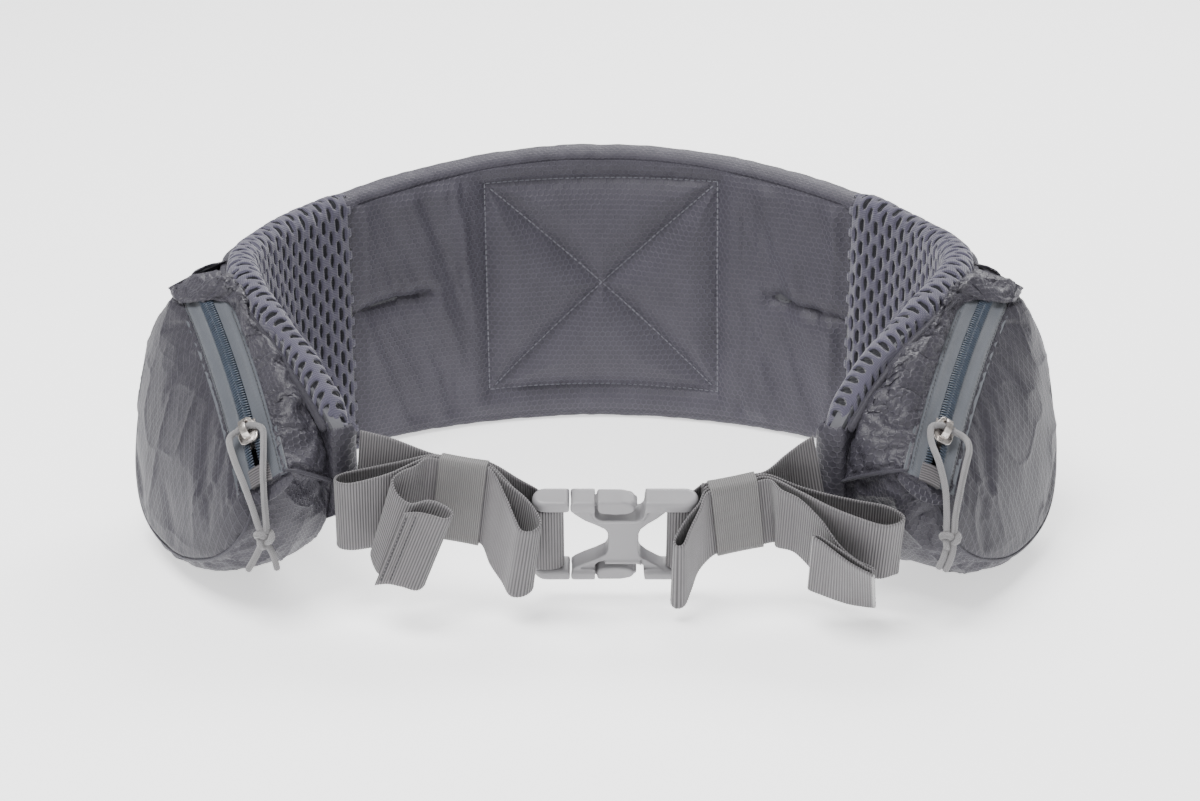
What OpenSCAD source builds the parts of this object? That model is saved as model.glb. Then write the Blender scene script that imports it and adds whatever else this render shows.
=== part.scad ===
// Padded hip belt with two zip pockets, webbing straps and a side-release
// buckle. Millimetres, +Z up, the wearer's front towards -Y. The origin is
// on the surface that the belt stands on, under the middle of its box.
// The modules draw round the belt's own middle, and placed() moves a piece
// from there to the origin. Side pieces are drawn on the +X side and
// mirrored for the left.

/* [Belt] */
// Half of the inside width between the two wings
half_w = 172; // [168:1:176]
// Inner face of the back, measured forward to back
back_y = 129; // [125:1:133]
// Height of the back panel
back_h = 154; // [148:1:160]
// Thickness of the foam in the back
foam_t = 8; // [6:1:8]
// Thickness of the spacer mesh on the wings
mesh_t = 5.7; // [4:0.1:6]
// How far from the middle the left wing's tip stands
left_tip_x = 112; // [108:1:114]
// How far from the middle the right wing's tip stands
right_tip_x = 100; // [98:1:104]

/* [Pockets] */
// Turn of a pocket's face away from straight back
pocket_turn = 30; // [28:1:32]
// Lean of a pocket's face towards the wing
pocket_lean = 18; // [16:1:20]
// Crown of the outer panel
panel_crown = 7; // [5:1:9]
// Thickness of the pocket cloth with its coating and seam allowance
cloth_t = 1.2; // [1:0.1:1.4]

/* [Zip] */
// Exposed width of both zip tapes
tape_w = 25; // [23:1:26]
// Width of the closed coil
coil_w = 6; // [5.5:0.1:6.2]
// Length of the slider
slider_len = 14; // [13:0.5:15]
// Width of the slider
slider_w = 9.4; // [9:0.1:9.8]
// Diameter of the pull cord
cord_d = 3.1; // [2.8:0.1:3.2]

/* [Straps] */
// Width of the webbing
web_w = 38; // [37:0.5:38]
// Thickness of the webbing
web_t = 1.5; // [1.3:0.1:1.6]
// Length of a keeper along the strap
keeper_len = 22; // [18:1:22]

/* [Buckle] */
// Distance from the middle of the buckle to each rail
rail_z = 22.4; // [22.4:0.1:23]
// Half of a rail's thickness
rail_r = 3.1; // [2.9:0.1:3.1]
// Half of a rail's depth
rail_y = 6; // [5.8:0.1:6.5]
// Lean of the buckle's face towards the front
buckle_lean = 22; // [18:1:26]

/* [Hidden] */

cloth_dark = "#4a4c55";
cloth_pale = "#6d6d7d";
mesh_grey = "#5d5c70";
web_grey = "#8f8f93";
plastic_grey = "#b9b9bb";

// Gap between neighbouring pieces that don't move on each other
gap = 0.3;
// From the belt's own middle to the middle of the whole box
box_shift = [2, 9.1, 0];

module placed() {
    translate(box_shift) children();
}

// ---- Small vector helpers -------------------------------------------------

function mix(a, b, u) = a + (b - a) * u;
function unit(v) = v / norm(v);
function bezier(p, u) =
    (1 - u) ^ 3 * p[0] + 3 * u * (1 - u) ^ 2 * p[1]
    + 3 * u ^ 2 * (1 - u) * p[2] + u ^ 3 * p[3];
function bezier_slope(p, u) =
    (1 - u) ^ 2 * (p[1] - p[0]) + 2 * u * (1 - u) * (p[2] - p[1])
    + u ^ 2 * (p[3] - p[2]);

// One point of a smooth curve through every point of a list, u from 0 to 1
function through(points, u) =
    let (
        last = len(points) - 1,
        i = min(floor(u * last), last - 1),
        f = u * last - i,
        a = points[max(i - 1, 0)],
        b = points[i],
        c = points[i + 1],
        d = points[min(i + 2, last)]
    )
    0.5 * (2 * b + (c - a) * f + (2 * a - 5 * b + 4 * c - d) * f ^ 2
           + (3 * b - a - 3 * c + d) * f ^ 3);

// ---- A closed sheet between two grids of points ---------------------------

module sheet(outer, inner) {
    rows = len(outer);
    cols = len(outer[0]);
    half = rows * cols;
    a = floor(rows / 2) - 1;
    b = floor(cols / 2) - 1;
    facing = cross(outer[a][b + 1] - outer[a][b], outer[a + 1][b] - outer[a][b])
        * (outer[a][b] - inner[a][b]);
    function id(r, c) = r * cols + c;
    function quad(p, q, r, s) = [[p, q, r], [p, r, s]];
    function turned(faces) =
        facing > 0 ? faces : [for (f = faces) [f[2], f[1], f[0]]];
    points = [for (grid = [outer, inner], row = grid, p = row) p];
    faces = concat(
        [for (r = [0:rows - 2], c = [0:cols - 2])
            each quad(id(r, c), id(r + 1, c), id(r + 1, c + 1), id(r, c + 1))],
        [for (r = [0:rows - 2], c = [0:cols - 2])
            each quad(half + id(r, c), half + id(r, c + 1),
                      half + id(r + 1, c + 1), half + id(r + 1, c))],
        [for (c = [0:cols - 2])
            each quad(id(0, c), id(0, c + 1), half + id(0, c + 1),
                      half + id(0, c))],
        [for (c = [0:cols - 2])
            each quad(id(rows - 1, c + 1), id(rows - 1, c),
                      half + id(rows - 1, c), half + id(rows - 1, c + 1))],
        [for (r = [0:rows - 2])
            each quad(id(r + 1, 0), id(r, 0), half + id(r, 0),
                      half + id(r + 1, 0))],
        [for (r = [0:rows - 2])
            each quad(id(r, cols - 1), id(r + 1, cols - 1),
                      half + id(r + 1, cols - 1), half + id(r, cols - 1))]);
    polyhedron(points, turned(faces));
}

// The same grid, moved by t along the surface's own normal
function moved_in(g, t) =
    let (rows = len(g) - 1, cols = len(g[0]) - 1)
    [for (r = [0:rows]) [for (c = [0:cols])
        let (
            along = g[r][min(c + 1, cols)] - g[r][max(c - 1, 0)],
            down = g[min(r + 1, rows)][c] - g[max(r - 1, 0)][c]
        )
        g[r][c] + unit(cross(along, down)) * t]];

module mirror_left(side) {
    if (side < 0)
        mirror([1, 0, 0]) children();
    else
        children();
}

// ---- Belt: curved layers between a bottom edge and a top edge --------------

side_plan = [[0, back_y], [75, back_y], [half_w, 77], [half_w, 4]];
side_top = [back_h, back_h + 3, 130, 137];
wing_top = [137, 137, 134, 84];
side_bottom = [0, 0, 0, 4];
wing_bottom = [4, 8, 18, 47];

// The curve runs from 0 at the middle of the back to 1 beside the hip and
// 2 at a wing's tip
seam_at = 0.59;
tip_at = 1.98;

function tip_x(side) = side < 0 ? left_tip_x : right_tip_x;
function wing_plan(side) =
    [[half_w, 4], [half_w, -38], [tip_x(side) + 32, -70], [tip_x(side), -106]];

function along(side_part, wing_part, t) =
    abs(t) <= 1 ? bezier(side_part, abs(t)) : bezier(wing_part, abs(t) - 1);
function top_edge(t) = along(side_top, wing_top, t);
function bottom_edge(t) = along(side_bottom, wing_bottom, t);

// A point off the belt's inner face: t along it, off outwards, z up
function on_belt(side, t, off, z) =
    let (
        u = abs(t),
        hand = t < 0 ? -1 : 1,
        p = along(side_plan, wing_plan(side), u),
        s = u <= 1 ? bezier_slope(side_plan, u)
                   : bezier_slope(wing_plan(side), u - 1),
        n = unit([-s.y, s.x])
    )
    [hand * (p.x + n.x * off), p.y + n.y * off, z];

module layer(side, t0, t1, off0, off1, low, high, rows = 40) {
    function wall(off) = [for (i = [0:rows])
        let (t = mix(t0, t1, i / rows))
        [for (z = [bottom_edge(t) + low, top_edge(t) - high])
            on_belt(side, t, off, z)]];
    sheet(wall(off1), wall(off0));
}

face_t = 1.7;
foam_off = face_t + gap;
board_off = foam_off + foam_t + 0.2;
board_t = 1.2;
shell_off = board_off + board_t + 0.2;
shell_t = 1.2;
edge_h = 2.4;

module back_face() {
    color(cloth_dark)
        layer(1, -seam_at, seam_at, 0, face_t, edge_h + gap, edge_h + gap, 60);
}

module back_foam() {
    color("dimgray")
        layer(1, -seam_at, seam_at, foam_off, foam_off + foam_t,
              edge_h + gap, edge_h + gap, 60);
}

module lumbar_stiffener() {
    color("black")
        layer(1, -0.42, 0.42, board_off, board_off + board_t, 12, 14, 40);
}

module back_shell() {
    color(cloth_dark)
        layer(1, -seam_at, seam_at, shell_off, shell_off + shell_t,
              edge_h + gap, edge_h + gap, 60);
}

module edge_strip(z_low) {
    rows = 60;
    function wall(off) = [for (i = [0:rows])
        let (
            t = mix(-seam_at, seam_at, i / rows),
            z = z_low ? bottom_edge(t) : top_edge(t) - edge_h
        )
        [on_belt(1, t, off, z), on_belt(1, t, off, z + edge_h)]];
    color(cloth_dark) sheet(wall(shell_off + shell_t), wall(0));
}

module top_binding() {
    edge_strip(false);
}

module bottom_binding() {
    edge_strip(true);
}

// ---- Wings -----------------------------------------------------------------

wing_at = seam_at + 0.005;
mesh_out = mesh_t - 2;
wing_shell_off = 10.3;

module mesh_pad(side) {
    color(mesh_grey) mirror_left(side)
        layer(side, wing_at, tip_at, mesh_out - mesh_t, mesh_out, 0, 0, 50);
}

module wing_foam(side) {
    color("dimgray") mirror_left(side)
        layer(side, wing_at, tip_at, mesh_out + gap, wing_shell_off - gap,
              0.5, 1, 50);
}

module wing_shell(side) {
    color(cloth_dark) mirror_left(side)
        layer(side, wing_at, tip_at, wing_shell_off, wing_shell_off + cloth_t,
              0, 0.5, 50);
}

// ---- Pocket frame: x back along the pocket, y up it, z out of it -----------

function pocket_x(side) = side < 0 ? 157 : 153;
pocket_y = -127;
pocket_z = 70;
flat_out = [cos(pocket_turn), -sin(pocket_turn), 0];
rim_back = [sin(pocket_turn), cos(pocket_turn), 0];
rim_up = -sin(pocket_lean) * flat_out + [0, 0, cos(pocket_lean)];
rim_out = cos(pocket_lean) * flat_out + [0, 0, sin(pocket_lean)];

function from_rim(side, p) =
    [pocket_x(side), pocket_y, pocket_z]
    + p[0] * rim_back + p[1] * rim_up + p[2] * rim_out;

module in_rim(side) {
    mirror_left(side)
        translate([pocket_x(side), pocket_y, pocket_z])
            rotate([90 - pocket_lean, 0, 90 - pocket_turn])
                children();
}

// ---- Zip: one shallow arc in the pocket's frame, its face tilted forward ---

zip_start = [-7, 2];
zip_end = [115, 64];
zip_sag = 5;
zip_tilt = 35;
zip_chord = norm(zip_end - zip_start);
zip_r = zip_chord ^ 2 / (8 * zip_sag) + zip_sag / 2;
zip_side = [zip_start.y - zip_end.y, zip_end.x - zip_start.x] / zip_chord;
zip_centre = (zip_start + zip_end) / 2 - zip_side * (zip_r - zip_sag);
start_angle = atan2(zip_start.y - zip_centre.y, zip_start.x - zip_centre.x);
end_angle = atan2(zip_end.y - zip_centre.y, zip_end.x - zip_centre.x);
// Where the slider rests, as a fraction of the zip from its lower end
slider_at = 0.19;

function zip_angle(p) = mix(start_angle, end_angle, p);

// A point by the zip: p along it, w across it towards the wing, h off it
function by_zip(side, p, w, h) =
    let (
        a = zip_angle(p),
        r = zip_r + w * cos(zip_tilt) + h * sin(zip_tilt),
        out = h * cos(zip_tilt) - w * sin(zip_tilt)
    )
    from_rim(side, [zip_centre.x + r * cos(a), zip_centre.y + r * sin(a), out]);

// Children stand on the zip: +X across it to the wing, +Y down it, +Z off it
module on_zip(side, p) {
    in_rim(side)
        translate([zip_centre.x, zip_centre.y, 0])
            rotate([0, 0, zip_angle(p)])
                translate([zip_r, 0, 0])
                    rotate([0, zip_tilt, 0])
                        children();
}

// A strip along the zip with a constant section, from p0 up to p1
module zip_strip(side, p0, p1) {
    in_rim(side)
        translate([zip_centre.x, zip_centre.y, 0])
            rotate([0, 0, zip_angle(p1)])
                rotate_extrude(angle = zip_angle(p0) - zip_angle(p1), $fn = 720)
                    translate([zip_r, 0]) rotate(-zip_tilt) children();
}

tape_t = 0.8;
tape_inner = 3.5;

module zip_tapes(side) {
    color("#5f6b7e") zip_strip(side, 0.01, 0.99)
        for (s = [-1, 1])
            translate([s * (tape_w / 2 + tape_inner) / 2, 0])
                square([tape_w / 2 - tape_inner, tape_t], center = true);
}

coil_low = -1;
coil_h = 2.5;

module zip_coil(side) {
    color("#3c4a63") {
        zip_strip(side, slider_at - 0.02, 0.98)
            translate([-coil_w / 2, coil_low]) square([coil_w, coil_h]);
        zip_strip(side, 0.05, slider_at - 0.025)
            for (s = [-1, 1])
                translate([s * 2.3 - 0.7, coil_low]) square([1.4, coil_h]);
    }
}

// A folded webbing tab sewn over the lower end of the coil
module zip_stop(side) {
    color(web_grey) on_zip(side, 0.012)
        translate([-tape_inner - 1.6, -4.6, 0.6]) cube([10.2, 9, 1.2]);
}

// ---- Slider and its cord ---------------------------------------------------

plate_t = 1.2;
plate_top = 3.6;
plate_low = -2.8;
crown_hole_r = cord_d / 2 + 0.25;
crown_h = plate_top + 0.2 + crown_hole_r;

module slider_plate(z) {
    x = slider_w / 2;
    y = slider_len / 2;
    translate([0, 0, z])
        linear_extrude(plate_t)
            polygon([[-x + 1, -y], [x - 1, -y], [x, -y + 3], [x, 1], [x - 2, y],
                     [2 - x, y], [-x, 1], [-x, -y + 3]]);
}

module slider(side) {
    flange_x = slider_w / 2 - 0.8;
    color("silver") on_zip(side, slider_at) {
        slider_plate(plate_top - plate_t);
        slider_plate(plate_low);
        for (s = [-1, 1])
            for (z = [[0.8, plate_top - 1], [plate_low + 1, -0.8]])
                translate([s * (flange_x + 0.2) - 0.4, -slider_len / 2 + 3, z[0]])
                    cube([0.8, 5, z[1] - z[0]]);
        translate([-0.8, 4, plate_low + 1])
            cube([1.6, 2.4, plate_top - plate_low - 2]);
        translate([-1.7, 0, crown_h]) rotate([0, 90, 0])
            linear_extrude(3.4) difference() {
                union() {
                    circle(r = crown_hole_r + 1.1, $fn = 48);
                    translate([0, -4]) square([crown_h - plate_top + 0.2, 8]);
                }
                circle(r = crown_hole_r, $fn = 48);
            }
    }
}

// Each leg's points, from the crown's hole down to the knot, on the +X side
right_inner_leg = [[-3, 0, 1.5], [-7.5, -3, 1.5], [-8, -10, -3], [-5.5, -19, -9],
                   [-3, -25, -19], [-2, -27, -30], [-1.6, -27.5, -39]];
right_outer_leg = [[3, 0, -1.5], [8, -3.5, -3.5], [9, -11, -6], [6, -20, -13],
                   [3.5, -25, -23], [2, -27, -32], [1.6, -27.5, -39]];
left_inner_leg = [[-3, 0, 1.5], [-8.5, -3, 1], [-10, -12, -4], [-10.5, -21, -13],
                  [-11, -25, -25], [-11.5, -27, -38]];
left_outer_leg = [[3, 0, -1.5], [6.5, -4, -4], [3.5, -14, -9], [-1.5, -22, -18],
                  [-5.5, -26, -28], [-8.3, -27, -38]];
knot_r = 5.2;
knot_drop = 43;

function crown(side) = by_zip(side, slider_at, 0, crown_h);
function leg(side, inner) =
    side < 0 ? (inner ? left_inner_leg : left_outer_leg)
             : (inner ? right_inner_leg : right_outer_leg);
function cord_route(side) =
    let (up = leg(side, true), down = leg(side, false), n = len(up))
    concat([for (i = [n - 1:-1:0]) up[i]], [[0, 0, 0]], down);
function knot_at(side) =
    crown(side) + [side < 0 ? -10.3 : 0, side < 0 ? -27 : -27.5, -knot_drop];

module tube(route, d, rings, sides) {
    function dir(i) = unit(through(route, min(1, (i + 0.5) / rings))
                           - through(route, max(0, (i - 0.5) / rings)));
    points = [for (i = [0:rings])
        let (
            p = through(route, i / rings),
            x = unit(cross(dir(i), [0.2, 1, 0.3])),
            y = cross(dir(i), x)
        )
        each [for (k = [0:sides - 1])
            p + d / 2 * (x * cos(360 * k / sides) + y * sin(360 * k / sides))]];
    walls = [for (i = [0:rings - 1], k = [0:sides - 1])
        let (
            a = i * sides + k,
            b = i * sides + (k + 1) % sides
        )
        each [[a, b, b + sides], [a, b + sides, a + sides]]];
    ends = [[for (k = [sides - 1:-1:0]) k],
            [for (k = [0:sides - 1]) rings * sides + k]];
    polyhedron(points, concat(walls, ends));
}

module pull_cord(side) {
    color("#a9a9ad") mirror_left(side)
        translate(crown(side)) tube(cord_route(side), cord_d, 26, 8);
}

module cord_knot(side) {
    color("#a9a9ad") mirror_left(side) translate(knot_at(side)) {
        sphere(r = knot_r, $fn = 32);
        for (s = [-1, 1])
            rotate([0, 180 + s * 12, 0])
                translate([0, 0, 1]) cylinder(d = cord_d, h = 14, $fn = 24);
    }
}

// ---- Pocket cloth ----------------------------------------------------------

// Lower edge of the outer panel, from below the zip's lower end round the
// bottom to its upper end
panel_outline = [[-8, -9], [-3, -27], [18, -46], [56, -59], [98, -57],
                 [124, -40], [139, -10], [145, 20], [134, 44], [121, 56]];
// Where the upper gusset meets the wing, as [t, z]
wing_line = [[1.97, 63], [1.93, 80], [1.85, 96], [1.72, 111], [1.58, 120],
             [1.45, 126]];
// The share of the zip's length along which there is room for it
gusset_end = 0.72;
// Where the lower gusset meets the wing
base_line = [[1.97, 61], [1.92, 38], [1.78, 20], [1.5, 9], [1.2, 6],
             [0.95, 7], [0.82, 32], [0.8, 80], [0.86, 118]];
panel_cols = 28;
// Room that a gusset's edge leaves at the wing and at the zip
seam_gap = 3.1;
hip_clear = 5.2;

function outline(p) = through(panel_outline, p);
function on_wing(side, line, p) =
    let (q = through(line, p))
    on_belt(side, q[0], wing_shell_off + cloth_t + seam_gap, q[1]);
function bulge(u, power = 1) = max(0, sin(180 * u)) ^ power;

// Away from the wing, for the part of a gusset that rounds the hip
function off_hip(side, line, q, p) =
    let (
        e = through(line, p),
        d = on_belt(side, e[0], 1, e[1]) - on_belt(side, e[0], 0, e[1])
    )
    d * hip_clear * bulge(q) * max(0, 3 * p - 2);

module main_panel(side) {
    rows = 12;
    function point(r, c) =
        let (
            q = r / rows,
            p = c / panel_cols,
            a = by_zip(side, p, -tape_w / 2 - gap, 0),
            e = outline(p),
            b = from_rim(side, [e.x, e.y, 0]),
            lift = panel_crown * bulge(q, 0.8) * bulge(mix(0.04, 0.96, p), 0.6)
        )
        mix(a, b, q) + rim_out * lift;
    outer = [for (r = [0:rows]) [for (c = [0:panel_cols]) point(r, c)]];
    color(cloth_pale) mirror_left(side) sheet(outer, moved_in(outer, cloth_t));
}

module top_gusset(side) {
    rows = 8;
    function swell(p) =
        let (a = zip_angle(gusset_end * p))
        cos(a) * rim_back + sin(a) * rim_up;
    function point(r, c) =
        let (
            q = r / rows,
            p = c / panel_cols
        )
        mix(by_zip(side, gusset_end * p, tape_w / 2 + gap, -1.3),
            on_wing(side, wing_line, p), q)
        + swell(p) * 5 * bulge(q) * bulge(mix(0.06, 1, p), 0.6);
    outer = [for (r = [0:rows]) [for (c = [0:panel_cols]) point(r, c)]];
    color(cloth_dark) mirror_left(side) sheet(outer, moved_in(outer, -cloth_t));
}

module bottom_gusset(side) {
    rows = 8;
    middle = [70, 0];
    // The rim of this gusset: across the zip's lower end, round the panel
    // and across the zip's upper end
    rim = concat(
        [by_zip(side, -0.012, 13, 0), by_zip(side, -0.03, 0, 0)],
        [for (k = [0:len(panel_outline) - 1])
            let (e = panel_outline[k], d = unit(e - middle) * 1.5)
            from_rim(side, [e.x + d.x, e.y + d.y, 0])],
        [by_zip(side, 1.03, 0, -1), by_zip(side, 1.035, 12, -2)]);
    cols = 36;
    function out(p) =
        let (
            q = through(rim, p) - from_rim(side, [middle.x, middle.y, 0]),
            x = q * rim_back,
            y = q * rim_up
        )
        unit(x * rim_back + y * rim_up);
    function grounded(v, floor_z) = [v.x, v.y, max(v.z, floor_z)];
    function point(r, c) =
        let (
            q = r / rows,
            p = c / cols
        )
        mix(through(rim, p), on_wing(side, base_line, p), q)
        + out(p) * 7 * bulge(q) * bulge(p, 1.5)
        + off_hip(side, base_line, q, p);
    outer = [for (r = [0:rows]) [for (c = [0:cols]) grounded(point(r, c), 0)]];
    inner = [for (row = moved_in(outer, cloth_t))
        [for (v = row) grounded(v, cloth_t)]];
    color(cloth_dark) mirror_left(side) sheet(outer, inner);
}

// ---- Webbing: ribbons through stations -------------------------------------
// A station is [x, y, z of the upper edge, lean x, lean y]: the webbing's
// width runs from the upper edge down along -[lean x, lean y, 1].

module ribbon(stations, rings) {
    function top_of(i) = let (s = through(stations, i / rings)) [s[0], s[1], s[2]];
    function across(i) =
        let (s = through(stations, i / rings))
        unit([s[3], s[4], 1]);
    function dir(i) = unit(top_of(min(i + 0.4, rings)) - top_of(max(i - 0.4, 0)));
    function edge(i, k) =
        let (n = unit(cross(dir(i), across(i))))
        [for (d = [0, web_w]) top_of(i) - across(i) * d + n * web_t / 2 * k];
    sheet([for (i = [0:rings]) edge(i, 1)], [for (i = [0:rings]) edge(i, -1)]);
}

function turn_x(v, a) = [v.x, v.y * cos(a) - v.z * sin(a), v.y * sin(a) + v.z * cos(a)];
function turn_y(v, a) = [v.x * cos(a) + v.z * sin(a), v.y, v.z * cos(a) - v.x * sin(a)];
function turn_z(v, a) = [v.x * cos(a) - v.y * sin(a), v.x * sin(a) + v.y * cos(a), v.z];

left_keeper_at = [-64, -121, 57];
left_keeper_turn = [0, 7, -8];
right_keeper_at = [62.5, -118.8, 48.7];
right_keeper_turn = [16, -9, 8];
// The four layers of webbing in a keeper, from the back to the front
layer_y = [3.4, 0.95, -0.95, -3];
// Straight run of webbing through a keeper, towards the buckle and away
run_in = 12.2;
run_out = 16.4;

function in_keeper(at, a, v) =
    at + turn_z(turn_y(turn_x(v, a[0]), a[1]), a[2]);
function keeper_station(left, x, k) =
    let (
        at = left ? left_keeper_at : right_keeper_at,
        a = left ? left_keeper_turn : right_keeper_turn,
        top = in_keeper(at, a, [x, layer_y[k], web_w / 2]),
        low = in_keeper(at, a, [x, layer_y[k], -web_w / 2]),
        lean = top - low
    )
    [top.x, top.y, top.z, lean.x / lean.z, lean.y / lean.z];

// Straight runs are held by three stations in a line
function keeper_run(left, k, from_left) =
    let (
        a = left ? -run_out : -run_in,
        b = left ? run_in : run_out
    )
    [for (i = [0:3])
        keeper_station(left, mix(a, b, (from_left ? i : 3 - i) / 3), k)];

buckle_at = [7, -118, 38];
bar_x = 28;
lean_b = -tan(buckle_lean);

// A station given in the buckle's own frame, upright in it unless it leans
function by_bar(x, y, z, lean = lean_b) =
    let (v = turn_x([x, y, z], buckle_lean))
    [buckle_at.x + v.x, buckle_at.y + v.y, buckle_at.z + v.z, 0, lean];

left_strap_path = concat(
    [[-110, -107.6, 85.6, 0.1, 0], [-103, -109.4, 84.6, 0.1, 0],
     [-94, -112, 83, 0.12, 0]],
    keeper_run(true, 0, true),
    [by_bar(-44, 9.2, 27, -0.25), by_bar(-37, 8.2, 22.5, -0.35),
     by_bar(-33, 7.4, 19.4), by_bar(-31, 6.4, 19), by_bar(-28.2, 3.9, 19)]);
left_bar_path =
    [by_bar(-27.3, 3.7, 19), by_bar(-25, 2.3, 19), by_bar(-24.3, 0, 19),
     by_bar(-25, -2.3, 19), by_bar(-28, -3.7, 19), by_bar(-33, -4.2, 19),
     by_bar(-38.5, -3.4, 19.4), by_bar(-44, 1.5, 25, -0.25)];
left_tail_path = concat(
    keeper_run(true, 1, false),
    [[-92, -118, 74.5, 0.03, -0.1], [-107, -117.5, 71, 0.03, -0.2],
     [-117, -119.5, 69.5, 0.02, -0.24], [-120.5, -124.5, 69.5, 0.02, -0.24],
     [-119, -130.5, 69.7, 0.02, -0.24], [-113, -133.5, 70.2, 0.02, -0.24],
     [-104, -131.5, 71.5, 0.03, -0.2], [-94, -128, 73.5, 0.06, -0.1]],
    keeper_run(true, 2, true),
    [[-43, -127, 68.5, 0.2, -0.2], [-34, -131.5, 62.5, 0.16, -0.24],
     [-28.5, -136.5, 57, 0.12, -0.24], [-27, -141, 53.5, 0.12, -0.24],
     [-30.5, -144.5, 51.5, 0.14, -0.24], [-35.5, -143.5, 51.5, 0.16, -0.24],
     [-38.8, -139, 56, 0.17, -0.24], [-43, -133, 64, 0.2, -0.15]],
    keeper_run(true, 3, false));
left_end_path =
    [[-84, -127, 76, 0.2, 0], [-90, -130, 74.5, 0.28, 0],
     [-93.5, -134, 72, 0.3, 0], [-91, -139, 67, 0.32, 0],
     [-85, -143, 64.5, 0.4, 0], [-77, -143, 66, 0.4, 0],
     [-70, -144, 64, 0.4, 0], [-66, -147, 61.5, 0.4, 0],
     [-69, -151, 60.5, 0.4, 0], [-76, -150, 62, 0.4, 0],
     [-82, -148.5, 62.5, 0.4, 0], [-88, -147.5, 61.5, 0.4, 0]];

right_strap_path = concat(
    [[98, -107.8, 83, -0.2, 0.15], [92, -110, 80, -0.15, 0],
     [85, -112.2, 75.2, -0.1, -0.15]],
    keeper_run(false, 0, false),
    [by_bar(40, 8.3, 25), by_bar(36, 8, 20.8), by_bar(33, 7.3, 19.1),
     by_bar(31, 6.3, 19), by_bar(28.2, 3.9, 19)]);
right_bar_path =
    [by_bar(27.3, 3.7, 19), by_bar(25, 2.3, 19), by_bar(24.3, 0, 19),
     by_bar(25, -2.3, 19), by_bar(28, -3.7, 19), by_bar(33, -3.2, 19),
     by_bar(38.2, -0.8, 19.2), by_bar(41, 2.2, 24)];
right_tail_path = concat(
    keeper_run(false, 1, true),
    [[90, -123.5, 65, 0, -0.35], [103, -128.5, 63, 0, -0.35],
     [117, -134, 62, 0, -0.3], [129, -140, 62, 0, -0.3],
     [136, -145.5, 60, 0, -0.4], [134.5, -149.8, 58.5, 0, -0.5],
     [127, -151.5, 57.5, 0, -0.5], [115, -149.5, 60.5, 0, -0.5],
     [103, -144, 63.5, 0, -0.5], [91, -136, 67, 0, -0.4]],
    keeper_run(false, 2, false),
    [[45, -132.5, 60, 0.02, -0.35], [40.5, -135.5, 55.5, 0.02, -0.35],
     [36.5, -138.5, 50.5, 0.02, -0.3], [33.8, -141.5, 46, 0.02, -0.3],
     [34.8, -144.5, 44.3, 0, -0.3], [38, -143.5, 45, -0.02, -0.3],
     [41, -140, 51, -0.02, -0.3], [45.5, -135, 58.5, 0, -0.32]],
    keeper_run(false, 3, true));
right_end_path =
    [[82, -134.5, 67.5, 0, -0.42], [90, -139.5, 65, 0, -0.5],
     [99, -146, 58, 0, -0.5], [107, -151, 48, -0.1, -0.55],
     [115, -153.5, 41.5, -0.1, -0.7], [121.5, -154.5, 38.5, -0.1, -0.8],
     [122.5, -156.5, 37.8, -0.1, -0.8], [117, -157, 41, -0.1, -0.7],
     [106, -154.5, 48, -0.05, -0.55], [98, -153, 53, 0, -0.5],
     [95.5, -154.8, 53.5, 0, -0.5], [100, -157, 51, 0, -0.55],
     [111, -159.3, 43, -0.1, -0.7], [122, -159.3, 36.5, -0.15, -0.9]];

module left_strap() {
    color(web_grey) ribbon(left_strap_path, 48);
}

module left_strap_tail() {
    color(web_grey) ribbon(concat(left_bar_path, left_tail_path, left_end_path), 190);
}

module right_strap() {
    color(web_grey) ribbon(right_strap_path, 48);
}

module right_strap_tail() {
    color(web_grey) ribbon(concat(right_bar_path, right_tail_path, right_end_path), 190);
}

// A flat sleeve of woven elastic round the layers of webbing
module keeper(at, a) {
    inner_y = 2 * layer_y[0] + web_t + 0.9;
    inner_z = web_w + 1.6;
    wall = 1;
    color("#99999a") translate(at) rotate(a) difference() {
        cube([keeper_len, inner_y + 2 * wall, inner_z + 2 * wall], center = true);
        cube([keeper_len + 2, inner_y, inner_z], center = true);
    }
}

module care_label() {
    color("#7d7278")
        translate([-103.5, -111.4, 62]) rotate([0, 6, -18])
            cube([10, 0.5, 9], center = true);
}

// ---- Buckle ----------------------------------------------------------------
// x to the wearer's left hand, y into the buckle, z up its face

mouth_x = -20.5;
notch_x = [-9.3, 13];
notch_z = 17;
sleeve_y = 3.6;
sleeve_z = [20, 24.4];
arm_gap = 0.35;

module in_buckle() {
    translate(buckle_at) rotate([buckle_lean, 0, 0]) children();
}

// Both rails between two places: flat bars with round edges
module rail(x0, x1) {
    for (s = [-1, 1])
        translate([x0, 0, s * rail_z]) rotate([90, 0, 90])
            linear_extrude(x1 - x0) {
                square([2 * (rail_y - rail_r), 2 * rail_r], center = true);
                for (k = [-1, 1])
                    translate([k * (rail_y - rail_r), 0])
                        circle(r = rail_r, $fn = 48);
            }
}

// The round end of both rails
module rail_end(x) {
    for (s = [-1, 1])
        translate([x, 0, s * rail_z - rail_r])
            cylinder(r = rail_y, h = 2 * rail_r, $fn = 48);
}

module web_bar(x) {
    translate([x, 0, -rail_z]) cylinder(r = 2.5, h = 2 * rail_z, $fn = 32);
}

module waist_plate() {
    rotate([90, 0, 0])
        linear_extrude(9, center = true)
            polygon([[mouth_x, 20], [-17, 15.5], [-7, 9.5], [-3.4, 6], [-3.4, -7.5],
                     [-9, -12], [-18, -16.5], [mouth_x, -20], [24, -20], [19, -17],
                     [13, -12], [10.8, -8], [10.8, 5], [13, 9], [19, 14.5],
                     [24, 20]]);
}

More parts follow.
